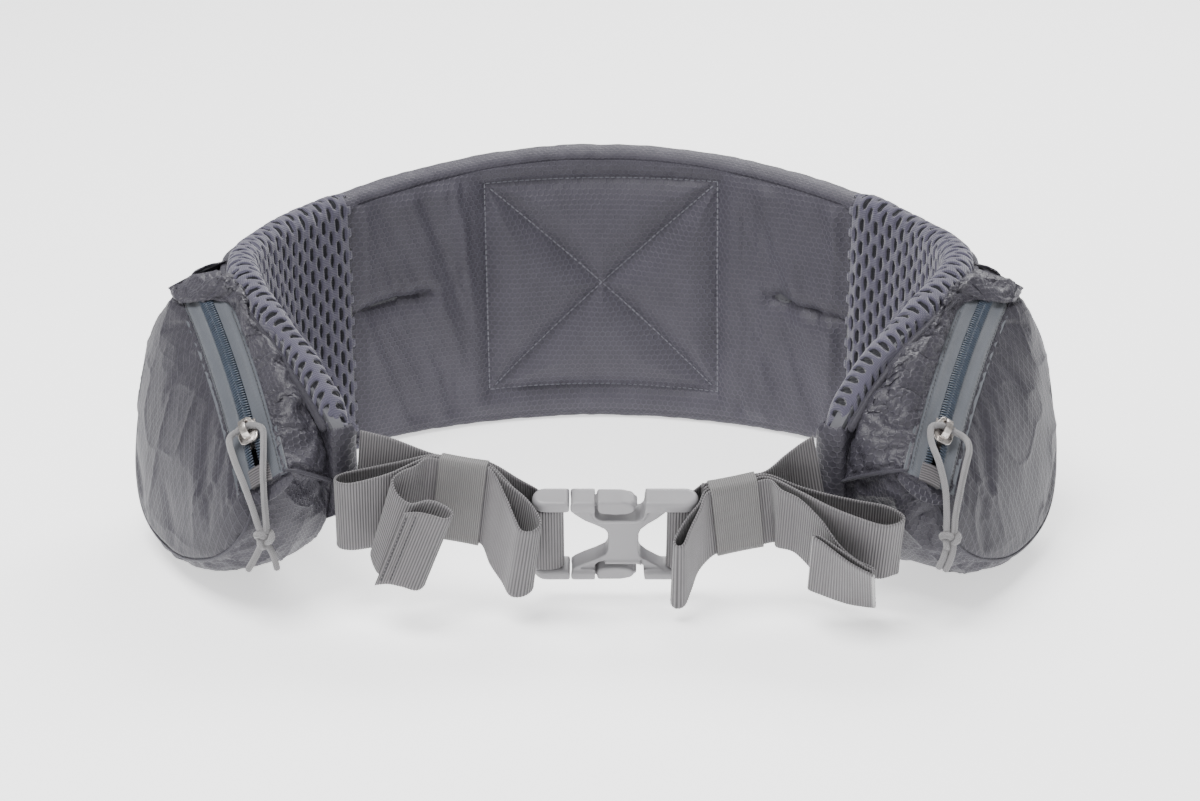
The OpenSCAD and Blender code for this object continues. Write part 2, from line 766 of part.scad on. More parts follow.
module buckle_female() {
    color(plastic_grey) in_buckle() difference() {
        union() {
            rail(mouth_x, 32);
            rail_end(32);
            waist_plate();
            web_bar(bar_x);
        }
        for (s = [0, 1])
            mirror([0, 0, s]) {
                translate([mouth_x - 1, -sleeve_y, sleeve_z[0]])
                    cube([notch_x[1] - mouth_x + 1, 2 * sleeve_y,
                          sleeve_z[1] - sleeve_z[0]]);
                translate([notch_x[0], -2 * rail_y, notch_z])
                    cube([notch_x[1] - notch_x[0], 4 * rail_y, rail_z]);
            }
    }
}

module buckle_male() {
    color(plastic_grey) in_buckle() {
        rail(-32, mouth_x - arm_gap);
        rail_end(-32);
        web_bar(-bar_x);
    }
}

// A latch arm from its root, with a lobe that fills the notch
module latch_arm(side) {
    lobe_z = rail_z + rail_r;
    color(plastic_grey) in_buckle() mirror([0, 0, side < 0 ? 1 : 0])
        translate([mouth_x + arm_gap, 0, 0]) rotate([90, 0, 0])
            linear_extrude(2 * sleeve_y - 0.9, center = true)
                polygon([[0, 21.4], [12, 21.4], [26, 20.6], [30, 21.2], [31, 22.5],
                         [29, 24.4], [22, lobe_z], [12, lobe_z], [12, 23.7],
                         [0, 23.7]]);
}

placed() back_face();
placed() back_foam();
placed() lumbar_stiffener();
placed() back_shell();
placed() top_binding();
placed() bottom_binding();
placed() mesh_pad(-1);  // left_mesh_pad
placed() wing_foam(-1);  // left_wing_foam
placed() wing_shell(-1);  // left_wing_shell
placed() mesh_pad(1);  // right_mesh_pad
placed() wing_foam(1);  // right_wing_foam
placed() wing_shell(1);  // right_wing_shell
placed() top_gusset(-1);  // left_top_gusset
placed() bottom_gusset(-1);  // left_bottom_gusset
placed() main_panel(-1);  // left_main_panel
placed() top_gusset(1);  // right_top_gusset
placed() bottom_gusset(1);  // right_bottom_gusset
placed() main_panel(1);  // right_main_panel
placed() zip_tapes(-1);  // left_zip_tapes
placed() zip_coil(-1);  // left_zip_coil
placed() zip_stop(-1);  // left_zip_stop
placed() zip_tapes(1);  // right_zip_tapes
placed() zip_coil(1);  // right_zip_coil
placed() zip_stop(1);  // right_zip_stop
placed() slider(-1);  // left_slider
placed() slider(1);  // right_slider
placed() pull_cord(-1);  // left_pull_cord
placed() cord_knot(-1);  // left_cord_knot
placed() pull_cord(1);  // right_pull_cord
placed() cord_knot(1);  // right_cord_knot
placed() left_strap();
placed() left_strap_tail();
placed() keeper(left_keeper_at, left_keeper_turn);  // left_keeper
placed() care_label();
placed() right_strap();
placed() right_strap_tail();
placed() keeper(right_keeper_at, right_keeper_turn);  // right_keeper
placed() buckle_female();
placed() buckle_male();
placed() latch_arm(1);  // latch_arm_top
placed() latch_arm(-1);  // latch_arm_bottom
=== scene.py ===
"""Padded hip belt with two zip pockets, webbing and a side-release buckle.

Shapes are worked out in millimetres round the belt's own middle, as the CAD
does, and put() moves them into the shared frame in metres.
"""
import math

import bmesh
import bpy
import numpy as np
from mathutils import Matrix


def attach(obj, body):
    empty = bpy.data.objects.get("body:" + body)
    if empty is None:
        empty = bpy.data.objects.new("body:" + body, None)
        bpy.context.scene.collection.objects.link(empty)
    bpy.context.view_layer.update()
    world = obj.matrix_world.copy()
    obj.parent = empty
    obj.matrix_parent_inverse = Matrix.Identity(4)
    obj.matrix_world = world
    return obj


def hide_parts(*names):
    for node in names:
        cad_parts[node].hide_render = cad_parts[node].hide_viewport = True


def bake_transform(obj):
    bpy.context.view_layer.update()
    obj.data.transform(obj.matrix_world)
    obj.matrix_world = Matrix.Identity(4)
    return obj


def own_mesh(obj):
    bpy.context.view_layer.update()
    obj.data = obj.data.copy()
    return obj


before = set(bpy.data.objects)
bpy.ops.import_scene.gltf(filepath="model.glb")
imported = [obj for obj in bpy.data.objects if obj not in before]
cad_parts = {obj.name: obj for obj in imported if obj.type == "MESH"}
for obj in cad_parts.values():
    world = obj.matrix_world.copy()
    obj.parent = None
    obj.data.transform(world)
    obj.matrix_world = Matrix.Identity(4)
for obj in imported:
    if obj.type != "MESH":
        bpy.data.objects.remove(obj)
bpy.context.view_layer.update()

# From the belt's own middle to the middle of the model's box, in millimetres
SHIFT = np.array([2.0, 9.1, 0.0])
SIDES = (-1, 1)
STITCH_LIFT = 0.15
scene = bpy.context.scene
link = scene.collection.objects.link


def rad(a):
    return a * math.pi / 180


# ---- Camera, floor and light ------------------------------------------------

LENS_MM, CAMERA_AT, CAMERA_DOWN = 75, (0.002, -1.1656, 0.5100), 21


def add_camera():
    data = bpy.data.cameras.new("camera")
    data.lens = LENS_MM
    data.sensor_width = 36
    data.clip_start = 0.01
    cam = bpy.data.objects.new("camera", data)
    cam.location = CAMERA_AT
    cam.rotation_euler = (rad(90 - CAMERA_DOWN), 0, 0)
    link(cam)
    scene.camera = cam


def area_light(name, at, aim, size, power):
    data = bpy.data.lights.new(name, "AREA")
    data.shape = "RECTANGLE"
    data.size, data.size_y = size
    data.energy = power
    lamp = bpy.data.objects.new(name, data)
    at, aim = np.array(at, float), np.array(aim, float)
    d = aim - at
    lamp.location = at
    lamp.rotation_euler = (
        math.acos(-d[2] / np.linalg.norm(d)), 0, math.atan2(-d[0], d[1]))
    link(lamp)


add_camera()

# ---- Points and vectors -----------------------------------------------------

def put(p):
    """From millimetres round the belt's own middle to the shared frame."""
    return (np.asarray(p, float) + SHIFT) / 1000


def unit(v):
    v = np.asarray(v, float)
    return v / np.maximum(np.linalg.norm(v, axis=-1, keepdims=True), 1e-12)


def smooth(a, b, x):
    t = np.clip((x - a) / (b - a), 0, 1)
    return t * t * (3 - 2 * t)


def bezier(p, u):
    p = np.asarray(p, float)
    u = np.asarray(u, float)[..., None]
    return ((1 - u) ** 3 * p[0] + 3 * u * (1 - u) ** 2 * p[1]
            + 3 * u ** 2 * (1 - u) * p[2] + u ** 3 * p[3])


def bezier_slope(p, u):
    p = np.asarray(p, float)
    u = np.asarray(u, float)[..., None]
    return ((1 - u) ** 2 * (p[1] - p[0]) + 2 * u * (1 - u) * (p[2] - p[1])
            + u ** 2 * (p[3] - p[2]))


def through(points, u):
    """A smooth curve through every point of a list, u from 0 to 1."""
    pts = np.asarray(points, float)
    last = len(pts) - 1
    x = np.clip(np.asarray(u, float), 0, 1) * last
    i = np.minimum(np.floor(x).astype(int), last - 1)
    f = (x - i)[..., None]
    a, b = pts[np.maximum(i - 1, 0)], pts[i]
    c, d = pts[i + 1], pts[np.minimum(i + 2, last)]
    return 0.5 * (2 * b + (c - a) * f + (2 * a - 5 * b + 4 * c - d) * f ** 2
                  + (3 * b - a - 3 * c + d) * f ** 3)


def hashed(i, j, k, seed):
    h = (i.astype(np.int64) * 374761393 + j.astype(np.int64) * 668265263
         + k.astype(np.int64) * 2147483647 + seed * 1274126177) & 0xFFFFFFFF
    h = ((h ^ (h >> 13)) * 1274126177) & 0xFFFFFFFF
    return ((h ^ (h >> 16)) & 0xFFFF) / 65535.0


def noise(p, seed=1):
    """Value noise from -1 to 1 at points (..., 3)."""
    p = np.asarray(p, float)
    i = np.floor(p)
    f = p - i
    f = f * f * f * (f * (f * 6 - 15) + 10)
    i = i.astype(np.int64)
    out = 0
    for dx in (0, 1):
        for dy in (0, 1):
            for dz in (0, 1):
                w = (np.where(dx, f[..., 0], 1 - f[..., 0])
                     * np.where(dy, f[..., 1], 1 - f[..., 1])
                     * np.where(dz, f[..., 2], 1 - f[..., 2]))
                out = out + w * hashed(i[..., 0] + dx, i[..., 1] + dy,
                                       i[..., 2] + dz, seed)
    return 2 * out - 1


def layered(p, octaves, seed=1):
    total, size = 0, 1.0
    for k in range(octaves):
        total = total + noise(np.asarray(p) * 2 ** k, seed + k) * size
        size *= 0.5
    return total


def creased(p, seed=1):
    """Ridged noise: sharp crests from 0 to 1, like creases in thin cloth."""
    return 1 - np.abs(noise(p, seed)) ** 0.7


# ---- Belt: the same curves as the CAD ----------------------------------------

BACK_Y, HALF_W = 129.0, 172.0
SIDE_PLAN = [(0, BACK_Y), (75, BACK_Y), (HALF_W, 77), (HALF_W, 4)]
SIDE_TOP, WING_TOP = [154, 157, 130, 137], [137, 137, 134, 84]
SIDE_BOTTOM, WING_BOTTOM = [0, 0, 0, 4], [4, 8, 18, 47]
SEAM_AT, TIP_AT = 0.59, 1.98
WING_AT = SEAM_AT + 0.005
TIP_X = {-1: 112.0, 1: 100.0}
WING_IN = -2.0
ROUND_WING = 12.2


def wing_plan(side):
    tip = TIP_X[side]
    return [(HALF_W, 4), (HALF_W, -38), (tip + 32, -70), (tip, -106)]


def height(a, b, t):
    """Height of an edge, from its curve on the back and on the wing."""
    u = np.abs(np.asarray(t, float))
    col = lambda q: np.asarray(q, float)[:, None]
    return np.where(u <= 1, bezier(col(a), np.clip(u, 0, 1))[..., 0],
                    bezier(col(b), np.clip(u - 1, 0, 1))[..., 0])


def top_edge(t):
    return height(SIDE_TOP, WING_TOP, t)


def bottom_edge(t):
    return height(SIDE_BOTTOM, WING_BOTTOM, t)


def on_belt(side, t, off, z):
    """Points on the belt: t along it, off outwards from its inner face, z up.

    t is 0 at the middle of the back, 1 at the hip and 2 at a wing's end.
    """
    t, off, z = np.broadcast_arrays(*(np.asarray(q, float) for q in (t, off, z)))
    u = np.abs(t)
    hand = np.where(t < 0, -1.0, 1.0)
    first = (u <= 1)[..., None]
    p = np.where(first, bezier(SIDE_PLAN, np.clip(u, 0, 1)),
                 bezier(wing_plan(side), np.clip(u - 1, 0, 1)))
    s = np.where(first, bezier_slope(SIDE_PLAN, np.clip(u, 0, 1)),
                 bezier_slope(wing_plan(side), np.clip(u - 1, 0, 1)))
    n = unit(np.stack([-s[..., 1], s[..., 0]], -1))
    return np.stack([hand * (p[..., 0] + n[..., 0] * off),
                     p[..., 1] + n[..., 1] * off, z], -1)


def distances(path):
    """How far along a path each of its points is."""
    steps = np.linalg.norm(np.diff(path, axis=0), axis=1)
    return np.concatenate([[0], np.cumsum(steps)])


def arc_table(side):
    t = np.linspace(0, 2, 2001)
    return t, distances(on_belt(side, t, 0, 0))


ARC = {side: arc_table(side) for side in SIDES}


def arc_of(side, t):
    return np.sign(t) * np.interp(np.abs(t), ARC[side][0], ARC[side][1])


def at_arc(side, s):
    return np.sign(s) * np.interp(np.abs(s), ARC[side][1], ARC[side][0])


def flip(side, p):
    """Mirror points to the left when side is -1."""
    p = np.array(p, float)
    if side < 0:
        p[..., 0] *= -1
    return p


# ---- Pocket and zip frames ---------------------------------------------------

TURN, LEAN = rad(30), rad(18)
FLAT_OUT = np.array([math.cos(TURN), -math.sin(TURN), 0])
RIM_BACK = np.array([math.sin(TURN), math.cos(TURN), 0])
RIM_UP = -math.sin(LEAN) * FLAT_OUT + np.array([0, 0, math.cos(LEAN)])
RIM_OUT = math.cos(LEAN) * FLAT_OUT + np.array([0, 0, math.sin(LEAN)])
POCKET_AT = {-1: np.array([157.0, -127, 70]), 1: np.array([153.0, -127, 70])}
ZIP_A, ZIP_B, ZIP_SAG, ZIP_TILT = np.array([-7.0, 2]), np.array([115.0, 64]), 5, rad(35)
ZIP_CHORD = np.linalg.norm(ZIP_B - ZIP_A)
ZIP_R = ZIP_CHORD ** 2 / (8 * ZIP_SAG) + ZIP_SAG / 2
ZIP_SIDE = np.array([ZIP_A[1] - ZIP_B[1], ZIP_B[0] - ZIP_A[0]]) / ZIP_CHORD
ZIP_C = (ZIP_A + ZIP_B) / 2 - ZIP_SIDE * (ZIP_R - ZIP_SAG)
ANG_A = math.atan2(*(ZIP_A - ZIP_C)[::-1])
ANG_B = math.atan2(*(ZIP_B - ZIP_C)[::-1])
ZIP_LEN = ZIP_R * abs(ANG_A - ANG_B)
SLIDER_AT = 0.19
TAPE_W = 25.0
ZIP_TOP = 0.9
CROWN_H = 5.6


def from_rim(side, x, y, out):
    """Points from a pocket's corner: x back, y up its face, out of it."""
    x, y, out = np.broadcast_arrays(*(np.asarray(q, float) for q in (x, y, out)))
    return (POCKET_AT[side] + x[..., None] * RIM_BACK + y[..., None] * RIM_UP
            + out[..., None] * RIM_OUT)


def by_zip(side, p, w, h):
    """Points by the zip: p from 0 to 1 along it, w across it, h above it."""
    p, w, h = np.broadcast_arrays(*(np.asarray(q, float) for q in (p, w, h)))
    a = ANG_A + (ANG_B - ANG_A) * p
    r = ZIP_R + w * math.cos(ZIP_TILT) + h * math.sin(ZIP_TILT)
    out = h * math.cos(ZIP_TILT) - w * math.sin(ZIP_TILT)
    return from_rim(side, ZIP_C[0] + r * np.cos(a), ZIP_C[1] + r * np.sin(a), out)


# ---- Meshes ------------------------------------------------------------------

def steps(rows, cols, across=(0, 1), up=(0, 1)):
    """Two grids: even steps across the columns, and up the rows."""
    return np.meshgrid(np.linspace(*across, cols), np.linspace(*up, rows))


def in_flat(x, y):
    """Points (x, y, 0) in the flat of the cloth, for noise."""
    x, y = np.broadcast_arrays(x, y)
    return np.stack([x, y, np.zeros_like(x)], -1)


def grid_faces(rows, cols, start=0, wrap=False, turned=False):
    r = np.arange(rows - 1)[:, None]
    c = np.arange(cols if wrap else cols - 1)[None, :]
    d = (c + 1) % cols
    q = np.stack([r * cols + c, r * cols + d, (r + 1) * cols + d,
                  (r + 1) * cols + c], -1).reshape(-1, 4) + start
    return q[:, ::-1] if turned else q


def grid_normals(g, wrap=False):
    if wrap:
        dc = np.roll(g, -1, 1) - np.roll(g, 1, 1)
    else:
        dc = np.gradient(g, axis=1)
    return unit(np.cross(dc, np.gradient(g, axis=0)))


def build(name, verts, faces, material, uv=None, sharp=50):
    """A smooth-shaded mesh object from millimetre points."""
    me = bpy.data.meshes.new(name)
    me.from_pydata(put(verts).tolist(), [], [list(map(int, f)) for f in faces])
    me.update()
    if uv is not None:
        layer = me.uv_layers.new(name="UVMap")
        idx = np.zeros(len(me.loops), int)
        me.loops.foreach_get("vertex_index", idx)
        layer.data.foreach_set("uv", np.asarray(uv, np.float32)[idx].ravel())
    me.polygons.foreach_set("use_smooth", [True] * len(me.polygons))
    if sharp:
        me.set_sharp_from_angle(angle=rad(sharp))
    me.materials.append(material)
    ob = bpy.data.objects.new(name, me)
    link(ob)
    return ob


def outward(ob):
    """Turn a closed mesh's faces so that their normals point out of it."""
    bm = bmesh.new()
    bm.from_mesh(ob.data)
    bmesh.ops.recalc_face_normals(bm, faces=bm.faces)
    bm.to_mesh(ob.data)
    bm.free()
    return ob


def slab(name, grid, thick, material, uv, behind=None, sharp=50):
    """A closed cloth piece: a grid of points and its copy, thick behind it."""
    rows, cols = grid.shape[:2]
    n = grid_normals(grid)
    inner = behind if behind is not None else grid - n * thick
    verts = np.concatenate([grid.reshape(-1, 3), inner.reshape(-1, 3)])
    half = rows * cols
    faces = [grid_faces(rows, cols), grid_faces(rows, cols, half, turned=True)]
    loop = np.concatenate([
        np.arange(cols), np.arange(1, rows) * cols + cols - 1,
        (rows - 1) * cols + np.arange(cols - 2, -1, -1),
        np.arange(rows - 2, 0, -1) * cols])
    nxt = np.roll(loop, -1)
    faces.append(np.stack([loop, loop + half, nxt + half, nxt], -1))
    uv = uv.reshape(-1, 2)
    return outward(build(name, verts, np.concatenate(faces), material,
                         np.concatenate([uv, uv]), sharp))


def finer(grid, rows, cols):
    """Resample a grid smoothly."""
    g = through(grid.reshape(len(grid), -1), np.linspace(0, 1, rows))
    g = g.reshape(rows, -1, 3).swapaxes(0, 1)
    g = through(g.reshape(len(g), -1), np.linspace(0, 1, cols))
    return g.reshape(cols, rows, 3).swapaxes(0, 1)


def grid_uv(g):
    """Distances along and across a grid, in millimetres."""
    du = np.linalg.norm(np.diff(g, axis=1), axis=2)
    dv = np.linalg.norm(np.diff(g, axis=0), axis=2)
    u = np.concatenate([[0], np.cumsum(du.mean(0))])
    v = np.concatenate([[0], np.cumsum(dv.mean(1))])
    return np.stack(np.meshgrid(u, v), -1)


def resample(path, step):
    path = np.asarray(path, float)
    d = distances(path)
    n = max(2, int(round(d[-1] / step)) + 1)
    s = np.linspace(0, d[-1], n)
    return np.stack([np.interp(s, d, path[:, k]) for k in range(path.shape[1])], -1), s


def frames_along(path):
    """A twist-free pair of sides, square to a path at each of its points."""
    d = unit(np.gradient(path, axis=0))
    x = np.zeros_like(d)
    ref = np.array([0.2, 1, 0.3])
    x[0] = unit(np.cross(d[0], ref))
    for i in range(1, len(d)):
        x[i] = unit(x[i - 1] - d[i] * np.dot(x[i - 1], d[i]))
    return x, np.cross(d, x)


def tube(name, path, radius, material, sides=12, wave=None):
    """A closed tube with rounded ends; wave(s, angle) adds to its radius."""
    path = np.asarray(path, float)
    x, y = frames_along(path)
    s = distances(path)
    ang = np.arange(sides) * 2 * math.pi / sides
    r = np.full((len(path), sides), float(radius))
    if wave:
        r = r + wave(s[:, None], ang[None, :])
    ends = np.ones(len(path))
    for k, f in enumerate((0.55, 0.85, 0.97)):
        if len(path) > 8:
            ends[k] = min(ends[k], f)
            ends[-1 - k] = min(ends[-1 - k], f)
    r = r * ends[:, None]
    ring = (path[:, None] + r[..., None]
            * (np.cos(ang)[None, :, None] * x[:, None]
               + np.sin(ang)[None, :, None] * y[:, None]))
    verts = np.concatenate([ring.reshape(-1, 3), path[:1], path[-1:]])
    faces = grid_faces(len(path), sides, wrap=True).tolist()
    a, b = len(verts) - 2, len(verts) - 1
    last = (len(path) - 1) * sides
    faces += [[a, (k + 1) % sides, k] for k in range(sides)]
    faces += [[b, last + k, last + (k + 1) % sides] for k in range(sides)]
    u = np.repeat(s, sides)
    v = np.tile(ang, len(path)) * radius
    uv = np.concatenate([np.stack([u, v], -1), [[0, 0], [s[-1], 0]]])
    return outward(build(name, verts, faces, material, uv, 0))


def bead_template():
    """A small closed spindle along X, one unit long and wide."""
    rings, sides = 5, 6
    x = np.array([-0.46, -0.3, 0, 0.3, 0.46])
    r = np.array([0.24, 0.42, 0.5, 0.42, 0.24])
    a = np.arange(sides) * 2 * math.pi / sides
    v = np.stack([np.repeat(x, sides), np.outer(r, np.cos(a)).ravel(),
                  np.outer(r, np.sin(a)).ravel()], -1)
    v = np.concatenate([v, [[-0.5, 0, 0], [0.5, 0, 0]]])
    f = [[i * sides + k, i * sides + (k + 1) % sides, (i + 1) * sides + (k + 1) % sides,
          (i + 1) * sides + k] for i in range(rings - 1) for k in range(sides)]
    end = (rings - 1) * sides
    f += [[rings * sides, (k + 1) % sides, k] for k in range(sides)]
    f += [[rings * sides + 1, end + k, end + (k + 1) % sides] for k in range(sides)]
    return v, f


def beads(name, centres, dirs, normals, size, material):
    """Many small spindles as one mesh: stitches or zip teeth."""
    tv, tf = bead_template()
    centres, dirs = np.asarray(centres, float), unit(dirs)
    normals = np.asarray(normals, float)
    side = unit(np.cross(normals, dirs))
    up = np.cross(dirs, side)
    size = np.broadcast_to(np.asarray(size, float), (len(centres), 3))
    v = (centres[:, None]
         + tv[None, :, 0, None] * size[:, None, 0, None] * dirs[:, None]
         + tv[None, :, 1, None] * size[:, None, 1, None] * side[:, None]
         + tv[None, :, 2, None] * size[:, None, 2, None] * up[:, None])
    faces = [[k + i * len(tv) for k in f] for i in range(len(centres)) for f in tf]
    return outward(build(name, v.reshape(-1, 3), faces, material, None, 0))


def stitch_line(path, normals, pitch):
    """Centres, directions and normals of stitches along a path."""
    both = np.concatenate([np.asarray(path), np.asarray(normals)], 1)
    d = distances(path)
    s = np.arange(pitch / 2, d[-1], pitch)

    def at(where, columns):
        return np.stack([np.interp(where, d, both[:, k]) for k in range(columns)], -1)

    q, e, b = at(s, 6), at(s + 0.5, 3), at(s - 0.5, 3)
    n = unit(q[:, 3:])
    return q[:, :3] + n * STITCH_LIFT, e - b, n


def stitches(name, lines, size, material):
    """One mesh of the stitches along several lines."""
    return beads(name, *(np.concatenate(x) for x in zip(*lines)), size, material)


def facing(g, towards):
    """1 or -1, so that grid_normals(g) * it point towards a direction."""
    n = grid_normals(g)[g.shape[0] // 2, g.shape[1] // 2]
    return 1.0 if float(n @ np.asarray(towards, float)) > 0 else -1.0


def cloth(side, name, g, thick, material, uv):
    """A cloth piece of one side of the belt, from its grid on the right."""
    behind = flip(side, g - grid_normals(g) * thick)
    return slab(word(side) + name, flip(side, g), thick, material, uv, behind=behind)


def ride(ob, body, slot, *nodes):
    """Attach a piece to its body, and hide the CAD nodes it stands for; slot is not used.
    """
    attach(ob, body)
    if nodes:
        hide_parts(*nodes)
    return ob


# ---- Materials ---------------------------------------------------------------

KEEP_POSITIVE = 600


class Shader:
    """A small helper round one material's node tree."""

    def __init__(self, name):
        self.material = bpy.data.materials.new(name)
        self.material.use_nodes = True
        self.tree = self.material.node_tree
        self.tree.nodes.clear()
        self.out = self.node("ShaderNodeOutputMaterial")
        self.bsdf = self.node("ShaderNodeBsdfPrincipled")
        self.tree.links.new(self.bsdf.outputs[0], self.out.inputs[0])
        self.uv = self.node("ShaderNodeUVMap").outputs[0]
        self.at = self.node("ShaderNodeTexCoord").outputs["Object"]

    def node(self, kind, **props):
        n = self.tree.nodes.new(kind)
        for k, v in props.items():
            setattr(n, k, v)
        return n

    def feed(self, socket, value):
        if isinstance(value, bpy.types.NodeSocket):
            self.tree.links.new(value, socket)
        else:
            socket.default_value = value

    def math(self, op, a, b=0.0, c=0.0, clamp=False):
        n = self.node("ShaderNodeMath", operation=op, use_clamp=clamp)
        for k, v in enumerate((a, b, c)):
            self.feed(n.inputs[k], v)
        return n.outputs[0]

    def vec(self, op, a, b=None, scale=None):
        n = self.node("ShaderNodeVectorMath", operation=op)
        self.feed(n.inputs[0], a)
        if b is not None:
            self.feed(n.inputs[1], b)
        if scale is not None:
            self.feed(n.inputs["Scale"], scale)
        return n.outputs["Vector"]

    def split(self, v):
        n = self.node("ShaderNodeSeparateXYZ")
        self.feed(n.inputs[0], v)
        return n.outputs[0], n.outputs[1]

    def step(self, x, low, high, a=0.0, b=1.0):
        n = self.node("ShaderNodeMapRange", interpolation_type="SMOOTHSTEP")
        for k, v in enumerate((x, low, high, a, b)):
            self.feed(n.inputs[k], v)
        return n.outputs[0]

    def mix(self, f, a, b):
        n = self.node("ShaderNodeMix", data_type="RGBA")
        self.feed(n.inputs[0], f)
        for k, v in ((6, a), (7, b)):
            self.feed(n.inputs[k], (*v, 1) if isinstance(v, tuple) else v)
        return n.outputs[2]

    def noise(self, scale, detail=3.0, at=None, rough=0.55):
        n = self.node("ShaderNodeTexNoise")
        self.feed(n.inputs["Vector"], self.at if at is None else at)
        self.feed(n.inputs["Scale"], scale)
        self.feed(n.inputs["Detail"], detail)
        self.feed(n.inputs["Roughness"], rough)
        return n.outputs["Fac"]

    def wave(self, x, period):
        """A smooth 0 to 1 wave along x."""
        s = self.math("SINE", self.math("MULTIPLY", x, 2 * math.pi / period))
        return self.math("MULTIPLY_ADD", s, 0.5, 0.5)

    def hexagons(self, at, pitch):
        """Distance from the middle of a hexagonal cell: 0 there, 0.5 at its wall."""
        p = self.vec("SCALE", at, scale=1 / pitch)
        root3 = 3 ** 0.5
        middle = (0.5, root3 / 2, 0)
        best = []
        for shift in ((0, 0, 0), middle):
            q = self.vec("ADD", p, shift)
            q = self.vec("ADD", q, (KEEP_POSITIVE, KEEP_POSITIVE * root3, 0))
            q = self.vec("SUBTRACT", self.vec("MODULO", q, (1.0, root3, 1.0)), middle)
            x, y = self.split(self.vec("ABSOLUTE", q))
            slant = self.math("ADD", self.math("MULTIPLY", x, 0.5),
                              self.math("MULTIPLY", y, root3 / 2))
            best.append(self.math("MAXIMUM", x, slant))
        return self.math("MINIMUM", *best)

    def diamonds(self, at, pitch, steep=1.9):
        """Distance from two sets of slanting threads, in shares of their pitch."""
        x, y = self.split(self.vec("SCALE", at, scale=1 / pitch))
        out = []
        for sign in (1, -1):
            d = self.math("ADD", x, self.math("MULTIPLY", y, sign / steep))
            out.append(self.math("ABSOLUTE", self.math(
                "SUBTRACT", self.math("FRACT", d), 0.5)))
        return self.math("MINIMUM", *out)

    def bump(self, h, strength, distance, after=None):
        n = self.node("ShaderNodeBump")
        n.inputs["Strength"].default_value = strength
        n.inputs["Distance"].default_value = distance
        self.feed(n.inputs["Height"], h)
        if after is not None:
            self.feed(n.inputs["Normal"], after)
        return n.outputs[0]

    def finish(self, colour, rough, normal=None, **fixed):
        self.feed(self.bsdf.inputs["Base Color"],
                  (*colour, 1) if isinstance(colour, tuple) else colour)
        self.feed(self.bsdf.inputs["Roughness"], rough)
        if normal is not None:
            self.feed(self.bsdf.inputs["Normal"], normal)
        for k, v in fixed.items():
            self.bsdf.inputs[k.replace("_", " ")].default_value = v
        return self.material


def shade(c, f):
    """A colour made darker or lighter."""
    return tuple(min(1.0, x * f) for x in c)


def weave_fine(s, pitch):
    u, v = s.split(s.uv)
    return s.math("MULTIPLY", s.wave(u, pitch), s.wave(v, pitch))


def cloth_material(name, base, sheen, honeycomb, slanted, rough, shine=0.34):
    """Coated ripstop: honeycomb or slanting threads, fine weave, mottling."""
    s = Shader(name)
    weave = weave_fine(s, 0.42)
    soft = s.noise(38, 4)
    pattern = weave
    if honeycomb:
        h = s.hexagons(s.uv, honeycomb)
        pattern = s.step(h, 0.36, 0.47)
    lines = pattern
    if slanted:
        d = s.step(s.diamonds(s.uv, slanted), 0.02, 0.09, 1.0, 0.0)
        lines = s.math("MAXIMUM", s.math("MULTIPLY", pattern, 0.35), d)
    tone = s.math("ADD", s.math("MULTIPLY", lines, 0.5),
                  s.math("MULTIPLY", soft, 0.75))
    colour = s.mix(s.math("SUBTRACT", tone, 0.12, clamp=True),
                   shade(base, 0.72), shade(base, 1.42))
    bump = s.bump(weave, 0.25, 0.00012)
    bump = s.bump(lines, 0.7, 0.0003, bump)
    bump = s.bump(s.noise(260, 3), 0.35, 0.0004, bump)
    r = s.step(lines, 0, 1, rough + 0.06, rough - 0.09)
    return s.finish(colour, r, bump, Sheen_Weight=sheen, Sheen_Roughness=0.4,
                    Sheen_Tint=(0.86, 0.86, 1.0, 1), Specular_IOR_Level=shine)


def mesh_material(name, base):
    """Knitted spacer mesh: staggered slots painted near-black, as painted shade inside the
    holes.
    """
    s = Shader(name)
    u, v = s.split(s.uv)
    x = s.math("DIVIDE", u, SLOT_X)
    col = s.math("FLOOR", x)
    stagger = s.math("MULTIPLY", s.math("MODULO", s.math("ADD", col, 800.0), 2.0), 0.5)
    y = s.math("ADD", s.math("DIVIDE", v, SLOT_Y), stagger)
    fx = s.math("ABSOLUTE", s.math("SUBTRACT", s.math("FRACT", x), 0.5))
    fy = s.math("ABSOLUTE", s.math("SUBTRACT", s.math("FRACT", y), 0.5))
    e = s.math("ADD", s.math("POWER", s.math("DIVIDE", fx, SLOT_HALF_X), 2.2),
               s.math("POWER", s.math("DIVIDE", fy, SLOT_HALF_Y), 2.2))
    hole = s.step(e, 0.75, 1.1, 1.0, 0.0)
    ribs = s.wave(v, 0.9)
    knit = s.math("MULTIPLY", ribs, s.wave(u, 0.77))
    thread = s.mix(s.math("ADD", s.math("MULTIPLY", knit, 0.6),
                          s.math("MULTIPLY", s.noise(55, 3), 0.5)),
                   shade(base, 0.62), shade(base, 1.3))
    # Painted shade: the slots are painted near-black for the shade inside the holes
    colour = s.mix(hole, thread, (0.008, 0.008, 0.012))
    bump = s.bump(s.math("SUBTRACT", knit, s.math("MULTIPLY", hole, 2.0)), 0.7, 0.0003)
    return s.finish(colour, 0.82, bump, Sheen_Weight=0.35, Sheen_Roughness=0.5,
                    Specular_IOR_Level=0.2)


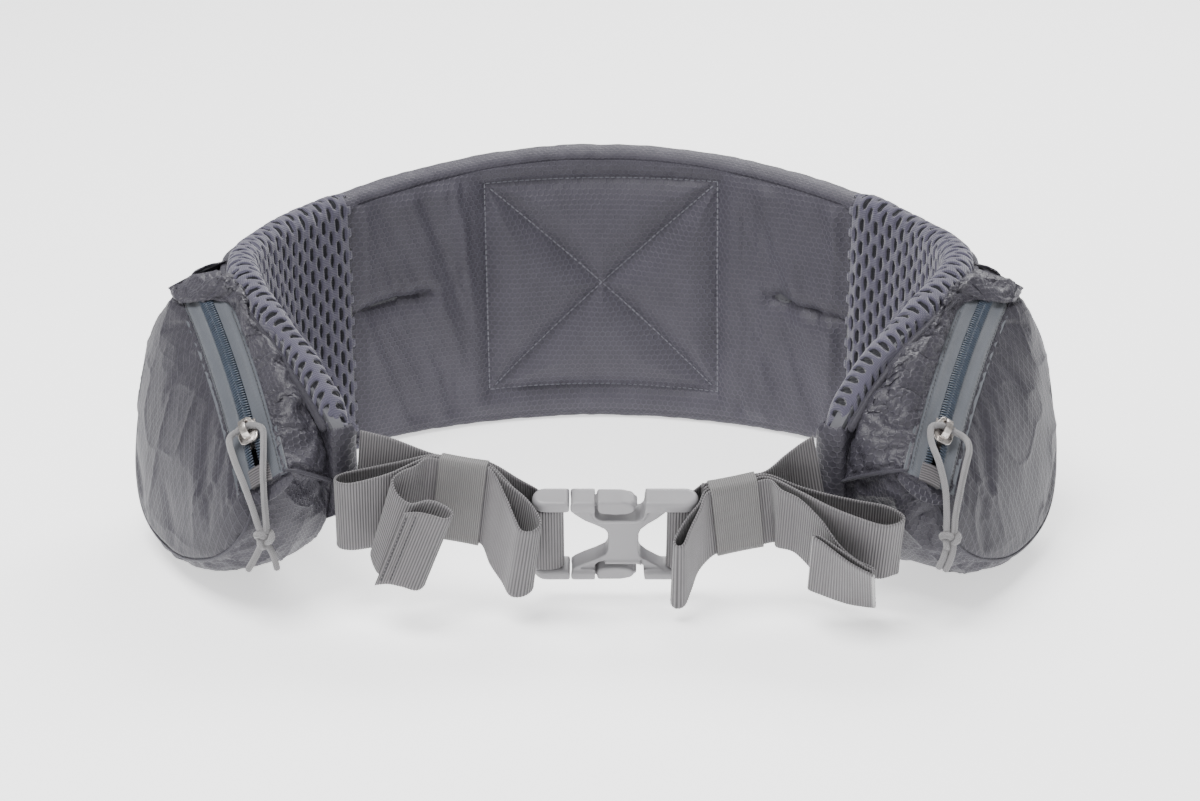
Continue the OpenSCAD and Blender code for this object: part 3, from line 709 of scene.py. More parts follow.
def web_material(name, base, rib, across=0.0):
    """Woven tape: ribs along U, threads along V; rib crests painted lighter and hollows
    darker, as painted shade of the ribs.
    """
    s = Shader(name)
    u, v = s.split(s.uv)
    crest = s.wave(s.math("ADD", u, rib * 0.25), rib)
    thread = s.wave(v, 0.55)
    # Painted shade: rib crests lighter and hollows darker; the threads and mottling are the
    # tape's own tone
    tone = s.math("ADD", s.math("MULTIPLY", crest, 0.85),
                  s.math("ADD", s.math("MULTIPLY", thread, 0.12 + across),
                         s.math("MULTIPLY", s.noise(60, 4), 0.32)))
    colour = s.mix(s.math("SUBTRACT", tone, 0.2, clamp=True),
                   shade(base, 0.34), shade(base, 1.25))
    bump = s.bump(s.math("MULTIPLY", thread, crest), 0.5, 0.00012)
    bump = s.bump(crest, 0.5, 0.00025, bump)
    return s.finish(colour, 0.62, bump, Sheen_Weight=0.3, Sheen_Roughness=0.45,
                    Specular_IOR_Level=0.35)


def tape_material(name, base):
    """Zip tape: fine twill."""
    s = Shader(name)
    u, v = s.split(s.uv)
    twill = s.wave(s.math("ADD", u, v), 0.85)
    cross = s.wave(s.math("SUBTRACT", u, v), 0.85)
    knit = s.math("MULTIPLY", twill, cross)
    colour = s.mix(s.math("ADD", s.math("MULTIPLY", knit, 0.7),
                          s.math("MULTIPLY", s.noise(70, 4), 0.4)),
                   shade(base, 0.6), shade(base, 1.3))
    return s.finish(colour, 0.7, s.bump(knit, 0.6, 0.0002), Sheen_Weight=0.3,
                    Specular_IOR_Level=0.3)


def coil_material(name, base):
    s = Shader(name)
    colour = s.mix(s.noise(300, 2), shade(base, 0.6), shade(base, 1.5))
    return s.finish(colour, 0.34, s.bump(s.noise(900, 2), 0.2, 0.0001),
                    Specular_IOR_Level=0.6)


def metal_material(name):
    s = Shader(name)
    worn = s.noise(420, 5)
    fine = s.noise(2600, 2)
    colour = s.mix(worn, (0.40, 0.37, 0.35), (0.66, 0.62, 0.59))
    r = s.step(worn, 0.3, 0.75, 0.22, 0.42)
    return s.finish(colour, r, s.bump(fine, 0.12, 0.00005), Metallic=1.0)


def plastic_material(name, base, rough=0.38):
    s = Shader(name)
    grain = s.noise(2200, 2)
    cloud = s.noise(45, 3)
    colour = s.mix(cloud, shade(base, 0.93), shade(base, 1.06))
    r = s.step(cloud, 0.3, 0.7, rough, rough + 0.1)
    return s.finish(colour, r, s.bump(grain, 0.10, 0.00006),
                    Specular_IOR_Level=0.5)


def cord_material(name, base):
    """Braided sheath: crossing strands round the cord."""
    s = Shader(name)
    u, v = s.split(s.uv)
    a = s.wave(s.math("ADD", u, s.math("MULTIPLY", v, 0.9)), 1.0)
    b = s.wave(s.math("SUBTRACT", u, s.math("MULTIPLY", v, 0.9)), 1.0)
    braid = s.math("MAXIMUM", a, b)
    colour = s.mix(s.math("ADD", s.math("MULTIPLY", braid, 0.7),
                          s.math("MULTIPLY", s.noise(120, 4), 0.35)),
                   shade(base, 0.45), shade(base, 1.2))
    return s.finish(colour, 0.66, s.bump(braid, 0.8, 0.0003), Sheen_Weight=0.3,
                    Specular_IOR_Level=0.3)


def foam_material(name, base):
    s = Shader(name)
    cells = s.node("ShaderNodeTexVoronoi")
    s.feed(cells.inputs["Vector"], s.at)
    cells.inputs["Scale"].default_value = 1400
    colour = s.mix(s.noise(90, 3), shade(base, 0.7), shade(base, 1.3))
    return s.finish(colour, 0.9, s.bump(cells.outputs["Distance"], 0.5, 0.0002),
                    Specular_IOR_Level=0.2)


SLOT_X, SLOT_Y = 4.7, 12.2
SLOT_HALF_X, SLOT_HALF_Y = 0.29, 0.33
RIB, ELASTIC_RIB = 1.3, 0.95

DARK = (0.044, 0.041, 0.053)
PALE = (0.030, 0.028, 0.036)
M = {
    "back": cloth_material("back_cloth", shade(DARK, 1.15), 0.10, 3.1, 0, 0.50),
    "dark": cloth_material("dark_cloth", shade(DARK, 0.85), 0.06, 3.0, 0, 0.44),
    "gusset": cloth_material("gusset_cloth", shade(DARK, 0.8), 0.05, 3.0, 0, 0.40),
    "pale": cloth_material("pale_cloth", PALE, 0.03, 2.6, 5.0, 0.46, 0.26),
    "mesh": mesh_material("spacer_mesh", (0.072, 0.067, 0.100)),
    "foam": foam_material("foam_core", (0.10, 0.10, 0.11)),
    "board": plastic_material("board_plastic", (0.03, 0.03, 0.033), 0.5),
    "tape": tape_material("zip_tape", (0.078, 0.086, 0.102)),
    "coil": coil_material("zip_coil", (0.026, 0.038, 0.058)),
    "metal": metal_material("slider_metal"),
    "cord": cord_material("cord_sheath", (0.19, 0.185, 0.19)),
    "web": web_material("webbing", (0.150, 0.143, 0.149), RIB),
    "elastic": web_material("elastic_weave", (0.135, 0.131, 0.130), ELASTIC_RIB, 0.35),
    "thread": cord_material("thread", (0.17, 0.17, 0.20)),
    "thread_dark": cord_material("thread_dark", (0.022, 0.022, 0.027)),
    "plastic": plastic_material("buckle_plastic", (0.225, 0.220, 0.229)),
    "tab": web_material("tab_tape", (0.10, 0.092, 0.098), RIB),
    "label": tape_material("label_cloth", (0.20, 0.165, 0.185)),
    "label_edge": tape_material("label_edge", (0.42, 0.42, 0.42)),
    "piping": cloth_material("piping_cloth", shade(DARK, 0.9), 0.1, 0, 0, 0.5),
}

# ---- Cords -------------------------------------------------------------------

CORD_R = 1.5
LEGS = {
    1: {"inner": [(-3, 0, 1.5), (-7.5, -3, 1.5), (-8, -10, -3), (-5.5, -19, -9),
                  (-3, -25, -19), (-2, -27, -30), (-1.6, -27.5, -39)],
        "outer": [(3, 0, -1.5), (8, -3.5, -3.5), (9, -11, -6), (6, -20, -13),
                  (3.5, -25, -23), (2, -27, -32), (1.6, -27.5, -39)]},
    -1: {"inner": [(-3, 0, 1.5), (-8.5, -3, 1), (-10, -12, -4), (-10.5, -21, -13),
                   (-11, -25, -25), (-11.5, -27, -38)],
         "outer": [(3, 0, -1.5), (6.5, -4, -4), (3.5, -14, -9), (-1.5, -22, -18),
                   (-5.5, -26, -28), (-8.3, -27, -38)]},
}
KNOT = {1: np.array([0, -27.5, -43]), -1: np.array([-10.3, -27, -43])}
TAILS = {1: ([(-1, 0, -3), (-2.5, -1.5, -8), (-5, -2, -14)],
             [(1.5, -1, -3), (0.5, -2, -9), (-2, -2.5, -15)]),
         -1: ([(-1.5, 0, -3), (-4, -1, -8), (-5.5, -1.5, -15)],
              [(1.5, -1, -3), (4.5, -2, -9), (8, -2.5, -15)])}


def word(side):
    return "left" if side < 0 else "right"


def crown_at(side):
    return by_zip(side, SLIDER_AT, 0, CROWN_H)


def braid(s, a):
    """Strands that stand a little proud of the sheath."""
    return 0.07 * (np.abs(np.sin(3 * a + s * 2.4)) + np.abs(np.sin(3 * a - s * 2.4)) - 1.1)


def knot_path():
    """An overhand knot drawn tight: a trefoil, flattened."""
    a = np.linspace(0, 2 * math.pi, 140)
    x = np.sin(a) + 2 * np.sin(2 * a)
    y = np.cos(a) - 2 * np.cos(2 * a)
    z = -np.sin(3 * a)
    return np.stack([x * 1.28, z * 1.75, y * 1.28], -1)


def make_cords(side):
    top = crown_at(side)
    body = word(side) + "_pull"
    pieces = []
    knot = flip(side, top + KNOT[side])
    loop = tube(word(side) + "_knot", knot + knot_path(), 1.55, M["cord"], 10, braid)
    ride(loop, body, "cord", word(side) + "_cord_knot")
    pieces.append(loop)
    for name, tail in zip(("a", "b"), TAILS[side]):
        path = through(np.array([(0, 0, 1.0)] + tail), np.linspace(0, 1, 40))
        ob = tube(word(side) + "_cord_tail_" + name,
                  flip(side, top + KNOT[side] + path), CORD_R, M["cord"], 10, braid)
        ride(ob, body, "cord")
        pieces.append(ob)
    for name in ("inner", "outer"):
        pts = np.array([(0, 0, 0)] + LEGS[side][name] + [tuple(KNOT[side] + (0, 0, 2.5))])
        path, _ = resample(through(pts, np.linspace(0, 1, 240)), 0.45)
        path = flip(side, top + path)
        ob = tube(word(side) + "_cord_" + name, path, CORD_R, M["cord"], 12, braid)
        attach(ob, body)
        if name == "inner":
            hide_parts(word(side) + "_pull_cord")
        pieces.append(ob)
    # Over the pocket, the cloth would hold the hanging cord up; the lift is worked out here
    # but not applied, and each piece only gets its own mesh
    h = unit(by_zip(side, SLIDER_AT, 0, 1) - by_zip(side, SLIDER_AT, 0, 0))
    for ob in pieces:
        flip(side, h).tolist()
        put(flip(side, top + h * 6)).tolist()
        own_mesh(ob)


for side in SIDES:
    make_cords(side)


# ---- Back pad ----------------------------------------------------------------

QUILT_S, QUILT_Z = (-62.0, 66.0), (19.0, 139.0)
FACE_T = 0.9


def to_segment(s, z, a, b):
    """Distance of points from a segment in the flat of the cloth."""
    a, b = np.array(a, float), np.array(b, float)
    p = np.stack([s, z], -1) - a
    d = b - a
    t = np.clip((p @ d) / (d @ d), 0, 1)
    return np.linalg.norm(p - t[..., None] * d, axis=-1)


def quilt_lines():
    (s0, s1), (z0, z1) = QUILT_S, QUILT_Z
    box = [((s0, z0 + 1), (s1, z0)), ((s1, z0), (s1 - 2, z1)),
           ((s1 - 2, z1), (s0 - 1, z1 - 1)), ((s0 - 1, z1 - 1), (s0, z0 + 1))]
    cross = [((s0 + 3, z0 + 3), (s1 - 5, z1 - 3)), ((s0 + 2, z1 - 4), (s1 - 3, z0 + 3))]
    return box, cross


DARTS = [((98, 78), (150, 72)), ((-150, 76), (-98, 82))]


def face_puff(s, z, t):
    """How far the padded inner face stands in front of its seams."""
    box, cross = quilt_lines()
    inside = ((s > QUILT_S[0]) & (s < QUILT_S[1]) & (z > QUILT_Z[0]) & (z < QUILT_Z[1]))
    d_box = np.min([to_segment(s, z, *l) for l in box], axis=0)
    d_cross = np.min([to_segment(s, z, *l) for l in cross], axis=0)
    d_dart = np.min([to_segment(s, z, *l) for l in DARTS], axis=0)
    top, low = top_edge(t), bottom_edge(t)
    d_edge = np.minimum(top - z, z - low)
    flat = in_flat(s, z)

    def mound(d, reach, tall):
        return tall * (1 - (1 - np.clip(d / reach, 0, 1)) ** 2.2)

    quilt = mound(np.minimum(d_box, d_cross), 20, 6.4)
    outer = (mound(d_box, 15, 5.2) * mound(d_dart, 11, 1)
             * (0.55 + 0.45 * smooth(0, 14, d_edge)))
    near = np.exp(-np.abs(d_box) / 26) * smooth(0.5, 5, d_box)
    side = smooth(6, 16, np.maximum(s - QUILT_S[1], QUILT_S[0] - s))
    border = smooth(5.2, 13, d_edge)
    folds = (layered(flat / (8.5, 55, 1), 2, 5) * 2.9 * near * side
             + layered((flat + (0.35 * z[..., None] * (1, 0, 0))) / (13, 80, 1), 2, 9)
             * 1.9 * side)
    above = smooth(2, 8, z - QUILT_Z[1]) * smooth(0, 4, top - z)
    slant = flat.copy()
    slant[..., 0] += 0.9 * (z - QUILT_Z[1])
    folds = folds + noise(slant / (7.5, 40, 1), 12) * 1.5 * above
    pucker = np.exp(-(d_box / 5) ** 2) * noise(flat / (2.6, 2.6, 1), 21) * 0.28
    pucker = pucker + np.exp(-(d_cross / 4) ** 2) * inside * noise(flat / 2.4, 22) * 0.22
    pucker = pucker + np.exp(-(d_dart / 7) ** 2) * noise(flat / (4, 9, 1), 23) * 0.7
    broad = layered(flat / (34, 46, 1), 2, 31) * 0.5
    return np.where(inside, quilt, outer + folds * border) + (pucker + broad) * border


def back_pad():
    rows, cols = 150, 420
    past_seam, mid_off = 0.006, 6.5
    t = np.linspace(-SEAM_AT - past_seam, SEAM_AT + past_seam, cols)
    s = arc_of(1, t)
    low, top = bottom_edge(t), top_edge(t)
    v = np.linspace(0, 1, rows)[:, None]
    roll = 5.2
    z = (low + roll) + v * (top - low - 2 * roll)
    ss, tt = np.broadcast_to(s, z.shape), np.broadcast_to(t, z.shape)
    puff = face_puff(ss, z, tt)
    ends = smooth(0, 9, np.abs(arc_of(1, SEAM_AT)) - np.abs(ss))
    puff = puff * (0.25 + 0.75 * ends)
    face = on_belt(1, tt, FACE_T - puff, z)
    uv = np.stack([ss, z], -1)
    ob = slab("back_pad_face", face, FACE_T, M["back"], uv)
    ride(ob, "root", "dark_cloth", "back_face")
    # Outer face: plain, with soft creases and a seam line near each edge
    rows_b = 90
    v = np.linspace(0, 1, rows_b)[:, None]
    zb = (low + roll) + v * (top - low - 2 * roll)
    ss, tt = np.broadcast_to(s, zb.shape), np.broadcast_to(t, zb.shape)
    flat = in_flat(ss, zb)
    d_edge = np.minimum(zb - low - roll, top - roll - zb)
    swell = (1.6 * (1 - np.exp(-d_edge / 7)) + layered(flat / (30, 60, 1), 3, 41) * 0.7
             + creased(flat / (26, 44, 1), 43) ** 6 * 0.5)
    for x in (-98.0, 98.0):
        swell = swell - 1.3 * np.exp(-((ss - x) / 2.2) ** 2)
    shell = on_belt(1, tt, 12.2 + swell, zb)
    ob = slab("back_outer_cloth", shell[:, ::-1], FACE_T, M["dark"],
              np.stack([ss, zb], -1)[:, ::-1])
    ride(ob, "root", "dark_cloth", "back_shell")
    # Edge rolls
    turns = 22
    around = np.linspace(-0.04, 1.04, turns)[:, None] * math.pi
    for name, high, node in (("back_top_roll", True, "top_binding"),
                             ("back_bottom_roll", False, "bottom_binding")):
        tt = np.broadcast_to(t, (turns, cols))
        ss = np.broadcast_to(s, tt.shape)
        flat = in_flat(ss, around * 12)
        fat = 1 + 0.045 * layered(flat / (9, 30, 1), 2, 51 if high else 61)
        fat = fat + 0.03 * noise(flat / (5, 12, 1), 53)
        off = mid_off - np.cos(around) * 6.7 * fat
        rise = np.sin(around) * (roll - 0.2) * fat
        zz = (top - roll + 0.1 + rise) if high else (low + roll - 0.1 - rise)
        g = on_belt(1, tt, off, np.maximum(zz, 0.25))
        if high:
            g = g[:, ::-1]
        ob = slab(name, g, FACE_T, M["back"],
                  np.stack([ss if not high else ss[:, ::-1], around * 12 + 0 * ss], -1))
        ride(ob, "root", "dark_cloth", node)
    # Stitching

    def on_face(a, b):
        u = np.linspace(0, 1, 160)
        ls = a[0] + (b[0] - a[0]) * u
        lz = a[1] + (b[1] - a[1]) * u
        lt = at_arc(1, ls)
        p = on_belt(1, lt, FACE_T - np.maximum(face_puff(ls, lz, lt), 0), lz)
        q = on_belt(1, lt, -3.0, lz)
        return p, unit(q - p)

    box, cross = quilt_lines()
    lines = [stitch_line(*on_face(*l), 3.1) for l in box + cross]
    ob = stitches("back_pad_stitches", lines, (2.5, 0.75, 0.6), M["thread"])
    ride(ob, "root", "dark_cloth")
    lines = [stitch_line(*on_face(*l), 2.6) for l in DARTS]
    ob = stitches("dart_stitches", lines, (2.0, 0.6, 0.5), M["thread_dark"])
    ride(ob, "root", "dark_cloth")


back_pad()


# ---- Wings -------------------------------------------------------------------

def slot_depth(u, v):
    """1 in the middle of a slot of the spacer mesh, 0 on its threads."""
    x = u / SLOT_X
    col = np.floor(x)
    y = v / SLOT_Y + 0.5 * np.mod(col + 800, 2)
    fx = np.abs(x - np.floor(x) - 0.5)
    fy = np.abs(y - np.floor(y) - 0.5)
    e = (fx / SLOT_HALF_X) ** 2.2 + (fy / SLOT_HALF_Y) ** 2.2
    return 1 - smooth(0.55, 1.25, e)


def wing_pad(side):
    """The mesh goes up the wing's inner face and over its top edge."""
    cols, rows = 300, 170
    t = np.linspace(WING_AT - 0.004, TIP_AT, cols)
    s = arc_of(side, t)
    low, top = bottom_edge(t), top_edge(t)
    tall = top - low
    over = 20.0
    v = np.linspace(0, 1, rows)[:, None]
    total = tall + over
    d = v * total
    corner = 5.0
    flat_part = tall - corner
    beyond = np.clip((d - flat_part) / (over + corner), 0, 1)
    arc = beyond * math.pi * 1.02
    off_up = np.where(d <= flat_part, WING_IN, 4.9 - 6.9 * np.cos(arc))
    z = np.where(d <= flat_part, low + d,
                 top - corner + (corner + 1.6) * np.sin(np.clip(arc, 0, math.pi))
                 - 4.5 * np.clip((arc - math.pi * 0.75) / (math.pi * 0.27), 0, 1))
    tt = np.broadcast_to(t, z.shape)
    ss = np.broadcast_to(s, z.shape)
    uv = np.stack([ss, d + 0 * ss], -1)
    hole = slot_depth(uv[..., 0], uv[..., 1])
    tip = smooth(0, 16, s[-1] - ss)
    base = smooth(0, 9, ss - s[0])
    crown = 2.6 * np.sin(v * math.pi) ** 0.6 * tip * base
    soft = layered(in_flat(ss / 26, d / 34), 2, 70 + side) * 0.9
    g = on_belt(side, tt, off_up, z)
    n = grid_normals(g)
    n = n if np.sum(n[rows // 3, cols // 2] * (on_belt(side, t[cols // 2], -5, 60)
                    - on_belt(side, t[cols // 2], 0, 60))) > 0 else -n
    g = g + n * (crown + soft * tip * base - 1.9 * hole)[..., None]
    round_tip = (1 - tip) ** 2
    g = g - n * (round_tip * 2.4)[..., None]
    behind = g - n * 1.0
    g, behind = flip(side, g), flip(side, behind)
    ob = slab(word(side) + "_mesh_cover", g, 1.0, M["mesh"], uv, behind=behind, sharp=0)
    ride(ob, "root", "spacer_mesh", word(side) + "_mesh_pad")


def wing_cloth(side):
    """Plain cloth on the outside of a wing, under and behind the pocket."""
    cols, rows = 200, 80
    t = np.linspace(WING_AT - 0.004, TIP_AT, cols)
    s = arc_of(side, t)
    low, top = bottom_edge(t), top_edge(t)
    v = np.linspace(0, 1, rows)[:, None]
    z = low - 0.2 + v * (top - 3.5 - low)
    tt, ss = np.broadcast_to(t, z.shape), np.broadcast_to(s, z.shape)
    flat = in_flat(ss, z)
    swell = (layered(flat / (24, 40, 1), 3, 81 + side) * 0.55
             + creased(flat / (18, 30, 1), 83 + side) ** 5 * 0.8)
    g = on_belt(side, tt, 11.6 + swell * smooth(0, 10, ss - s[0]), np.maximum(z, 0.3))
    uv = flat[..., :2]
    g = flip(side, g)
    ob = slab(word(side) + "_wing_outer_cloth", g[:, ::-1] if side > 0 else g, 0.9,
              M["dark"], uv[:, ::-1] if side > 0 else uv)
    ride(ob, "root", "dark_cloth", word(side) + "_wing_shell")
    # A folded tape closes the lower edge of the wing
    around = np.linspace(0, 1, 14)[:, None] * math.pi
    off = 4.6 - np.cos(around) * 6.4 + 0 * t
    zz = np.maximum(low + 3.4 - np.sin(around) * 3.6, 0.25)
    g = flip(side, on_belt(side, np.broadcast_to(t, off.shape), off, zz))
    uv = np.stack([np.broadcast_to(s, off.shape), around * 8 + 0 * off], -1)
    ob = slab(word(side) + "_wing_lower_edge", g, 0.9, M["dark"], uv)
    ride(ob, "root", "dark_cloth")


def wing_tip(side):
    """The outer cloth folds round the wing's end and meets the mesh."""
    rows, cols = 20, 120
    low, top = float(bottom_edge([TIP_AT])[0]), float(top_edge([TIP_AT])[0])
    z, a = steps(rows, cols, (low + 0.5, top + 0.5), (-0.08, 1.08))
    a = a * math.pi
    ends = np.sqrt(np.clip(1 - ((z - (low + top) / 2) / ((top - low) / 2 + 1)) ** 8, 0, 1))
    off = 5.0 - np.cos(a) * 7.4 * (0.25 + 0.75 * ends)
    s = arc_of(side, TIP_AT) - 1.5 + np.sin(a) * 3.6 * (0.3 + 0.7 * ends)
    p = on_belt(side, np.full(a.shape, TIP_AT), off, z)
    q = on_belt(side, np.full(a.shape, TIP_AT - 0.01), off, z)
    flat = in_flat(a * 5, z)
    g = p + unit(p - q) * (s - arc_of(side, TIP_AT))[..., None]
    g = g + grid_normals(g) * (0.35 * noise(flat / (4, 7, 1), 91))[..., None]
    ob = slab(word(side) + "_wing_tip_fold", flip(side, g), 0.8, M["dark"], flat[..., :2])
    ride(ob, "root", "dark_cloth")


def wing_binding(side):
    """A narrow bound edge where the mesh ends on the wing's outer face."""
    t = np.linspace(WING_AT, 1.95, 200)
    s = arc_of(side, t)
    path = on_belt(side, t, 12.9 + 0.2 * np.sin(s / 4.3), top_edge(t) - 5.2)
    tube_at = flip(side, path)
    ob = tube(word(side) + "_wing_binding", tube_at, 1.9, M["piping"], 10,
              lambda d, a: 0.12 * np.sin(d * 1.7 + 2 * np.cos(a)))
    ride(ob, "root", "dark_cloth")


for side in SIDES:
    wing_pad(side)
    wing_cloth(side)
    wing_tip(side)
    wing_binding(side)
for node, look in (("back_foam", "foam"), ("lumbar_stiffener", "board"),
                   ("left_wing_foam", "foam"), ("right_wing_foam", "foam")):
    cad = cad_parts[node].data
    cad.materials.clear()
    cad.materials.append(M[look])


# ---- Pockets -----------------------------------------------------------------

PANEL_OUTLINE = [(-8, -9), (-3, -27), (18, -46), (56, -59), (98, -57), (124, -40),
                 (139, -10), (145, 20), (134, 44), (121, 56)]
WING_LINE = [(1.97, 63), (1.93, 80), (1.85, 96), (1.72, 111), (1.58, 120), (1.45, 126)]
GUSSET_END = 0.72
BASE_LINE = [(1.97, 61), (1.92, 38), (1.78, 20), (1.5, 9), (1.2, 6), (0.95, 7),
             (0.82, 32), (0.8, 80), (0.86, 118)]
CLOTH_T = 0.8


def hump(u, power=1.0):
    return np.maximum(0, np.sin(math.pi * np.asarray(u, float))) ** power


def on_wing(side, line, p):
    q = through(line, p)
    return on_belt(side, q[..., 0], ROUND_WING, q[..., 1])


def panel_grid(side, rows=26, cols=60):
    p, q = steps(rows, cols)
    a = by_zip(side, p, -TAPE_W / 2 + 1.5, 0.3)
    e = through(PANEL_OUTLINE, p)
    b = from_rim(side, e[..., 0], e[..., 1], 0)
    lift = 7 * hump(q, 0.8) * hump(0.04 + 0.92 * p, 0.6)
    return a + (b - a) * q[..., None] + RIM_OUT * lift[..., None]


HOOD_EDGE = [(0.72, 11.3, 0.3), (0.785, 8.5, 1.6), (0.83, 0, 2.6), (0.88, -9, 2.6),
             (0.94, -13, 2.0), (1.03, -14, 0.5)]
HOOD_WING = [(1.45, 126, 12.2), (1.37, 131, 10.5), (1.28, 134, 8.5), (1.16, 133, 9),
             (1.03, 128, 11), (0.92, 122, 12.2)]


def top_gusset_grid(side, rows=24, cols=84, hood=24):
    """From the zip to the wing, and on over the zip's upper end as a hood."""
    body = cols - hood
    q = np.linspace(0, 1, rows)[:, None]
    p = np.linspace(0, 1, body)
    e = through(HOOD_EDGE, np.linspace(0, 1, hood + 1)[1:])
    a = np.concatenate([by_zip(side, GUSSET_END * p, TAPE_W / 2 - 1.2, 0.3),
                        by_zip(side, e[:, 0], e[:, 1], e[:, 2])])
    w = through(HOOD_WING, np.linspace(0, 1, hood + 1)[1:])
    b = np.concatenate([on_wing(side, WING_LINE, p),
                        on_belt(side, w[:, 0], w[:, 2], w[:, 1])])
    along = np.concatenate([GUSSET_END * p, e[:, 0]])
    ang = ANG_A + (ANG_B - ANG_A) * along
    swell = (np.cos(ang)[:, None] * RIM_BACK + np.sin(ang)[:, None] * RIM_UP
             + 0.35 * RIM_OUT)
    size = np.concatenate([6.5 * hump(0.06 + 0.6 * p, 0.6),
                           6.5 * hump(0.66 + 0.34 * np.linspace(0, 1, hood + 1)[1:], 0.6)])
    return (a[None] + (b - a)[None] * q[..., None]
            + swell[None] * (hump(q) * size[None])[..., None])


def bottom_gusset_grid(side, rows=22, cols=100):
    mid = np.array([70.0, 0])
    rim = [by_zip(side, -0.012, 13, 0), by_zip(side, -0.03, 0, 0)]
    for e in PANEL_OUTLINE:
        d = unit(np.array(e, float) - mid) * 0.6
        rim.append(from_rim(side, e[0] + d[0], e[1] + d[1], 0))
    rim += [by_zip(side, 1.03, 0, -1), by_zip(side, 1.035, 12, -2)]
    p, q = steps(rows, cols)
    r = through(rim, p)
    v = r - from_rim(side, mid[0], mid[1], 0)
    x, y = v @ RIM_BACK, v @ RIM_UP
    out = unit(x[..., None] * RIM_BACK + y[..., None] * RIM_UP)
    hip = through(BASE_LINE, p)
    away = (on_belt(side, hip[..., 0], 1, hip[..., 1])
            - on_belt(side, hip[..., 0], 0, hip[..., 1]))
    b = on_wing(side, BASE_LINE, p)
    g = (r + (b - r) * q[..., None] + out * (7 * hump(q) * hump(p, 1.5))[..., None]
         + away * (5.2 * hump(q) * np.maximum(0, 3 * p - 2)
                   * (1 - smooth(0.9, 0.99, p)))[..., None]
         - RIM_OUT * (6 * smooth(0.93, 1, p) * (1 - q) ** 2)[..., None])
    g[..., 2] = np.maximum(g[..., 2], 0.6)
    return g


def billow(name, grid, pressure, grow, frames, cap):
    """Inflate a pinned cloth a little larger than its frame, so that it wrinkles."""
    rows, cols = grid.shape[:2]
    ob = build("sim_" + name, grid.reshape(-1, 3), grid_faces(rows, cols), M["dark"],
               sharp=0)
    group = ob.vertex_groups.new(name="pin")
    idx = np.arange(rows * cols).reshape(rows, cols)
    edge = np.unique(np.concatenate([idx[0], idx[-1], idx[:, 0], idx[:, -1]]))
    group.add(edge.tolist(), 1.0, "REPLACE")
    mod = ob.modifiers.new("Cloth", "CLOTH")
    cs = mod.settings
    cs.quality = 6
    cs.mass = 0.15
    cs.tension_stiffness = 12
    cs.compression_stiffness = 12
    cs.shear_stiffness = 4
    cs.bending_stiffness = 0.8
    cs.vertex_group_mass = "pin"
    cs.shrink_min = -grow
    cs.use_pressure = True
    cs.uniform_pressure_force = pressure
    cs.effector_weights.gravity = 0
    mod.collision_settings.use_collision = False
    mod.collision_settings.use_self_collision = False
    mod.point_cache.frame_start, mod.point_cache.frame_end = 1, frames
    for f in range(1, frames + 1):
        scene.frame_set(f)
    eval_mesh = ob.evaluated_get(bpy.context.evaluated_depsgraph_get()).data
    co = np.zeros(rows * cols * 3, np.float32)
    eval_mesh.vertices.foreach_get("co", co)
    now = co.reshape(rows, cols, 3).astype(float) * 1000 - SHIFT
    me = ob.data
    bpy.data.objects.remove(ob)
    bpy.data.meshes.remove(me)
    scene.frame_set(1)
    move = now - grid
    size = np.linalg.norm(move, axis=-1, keepdims=True)
    return grid + move * np.minimum(1, cap / np.maximum(size, 1e-6))


def wrinkle(g, uv, amount, seed, edge=7.0):
    """Fine creases in thin coated cloth, fading out at its seams."""
    size = grid_uv(g)[-1, -1]
    u, v = steps(*g.shape[:2])
    flat = in_flat(uv[..., 0], uv[..., 1])
    flat = flat + 4 * in_flat(noise(flat / 23, seed), noise(flat / 23, seed + 1))
    h = (creased(flat / (24, 30, 1), seed + 2) ** 3 * 2.0
         + creased(flat / (13, 19, 1), seed + 3) ** 4 * 0.6
         + layered(flat / (31, 27, 1), 2, seed + 4) * 1.2
         + noise(flat / 4.2, seed + 5) * 0.08)
    rim = np.minimum(np.minimum(v, 1 - v) * size[1], np.minimum(u, 1 - u) * size[0])
    pucker = np.exp(-(rim / 6) ** 2) * noise(flat / (3.2, 3.2, 1), seed + 6) * 0.35
    fade = smooth(0, edge, rim)
    n = grid_normals(g)
    return g + n * ((h * fade + pucker * smooth(0, 1, rim)) * amount)[..., None]


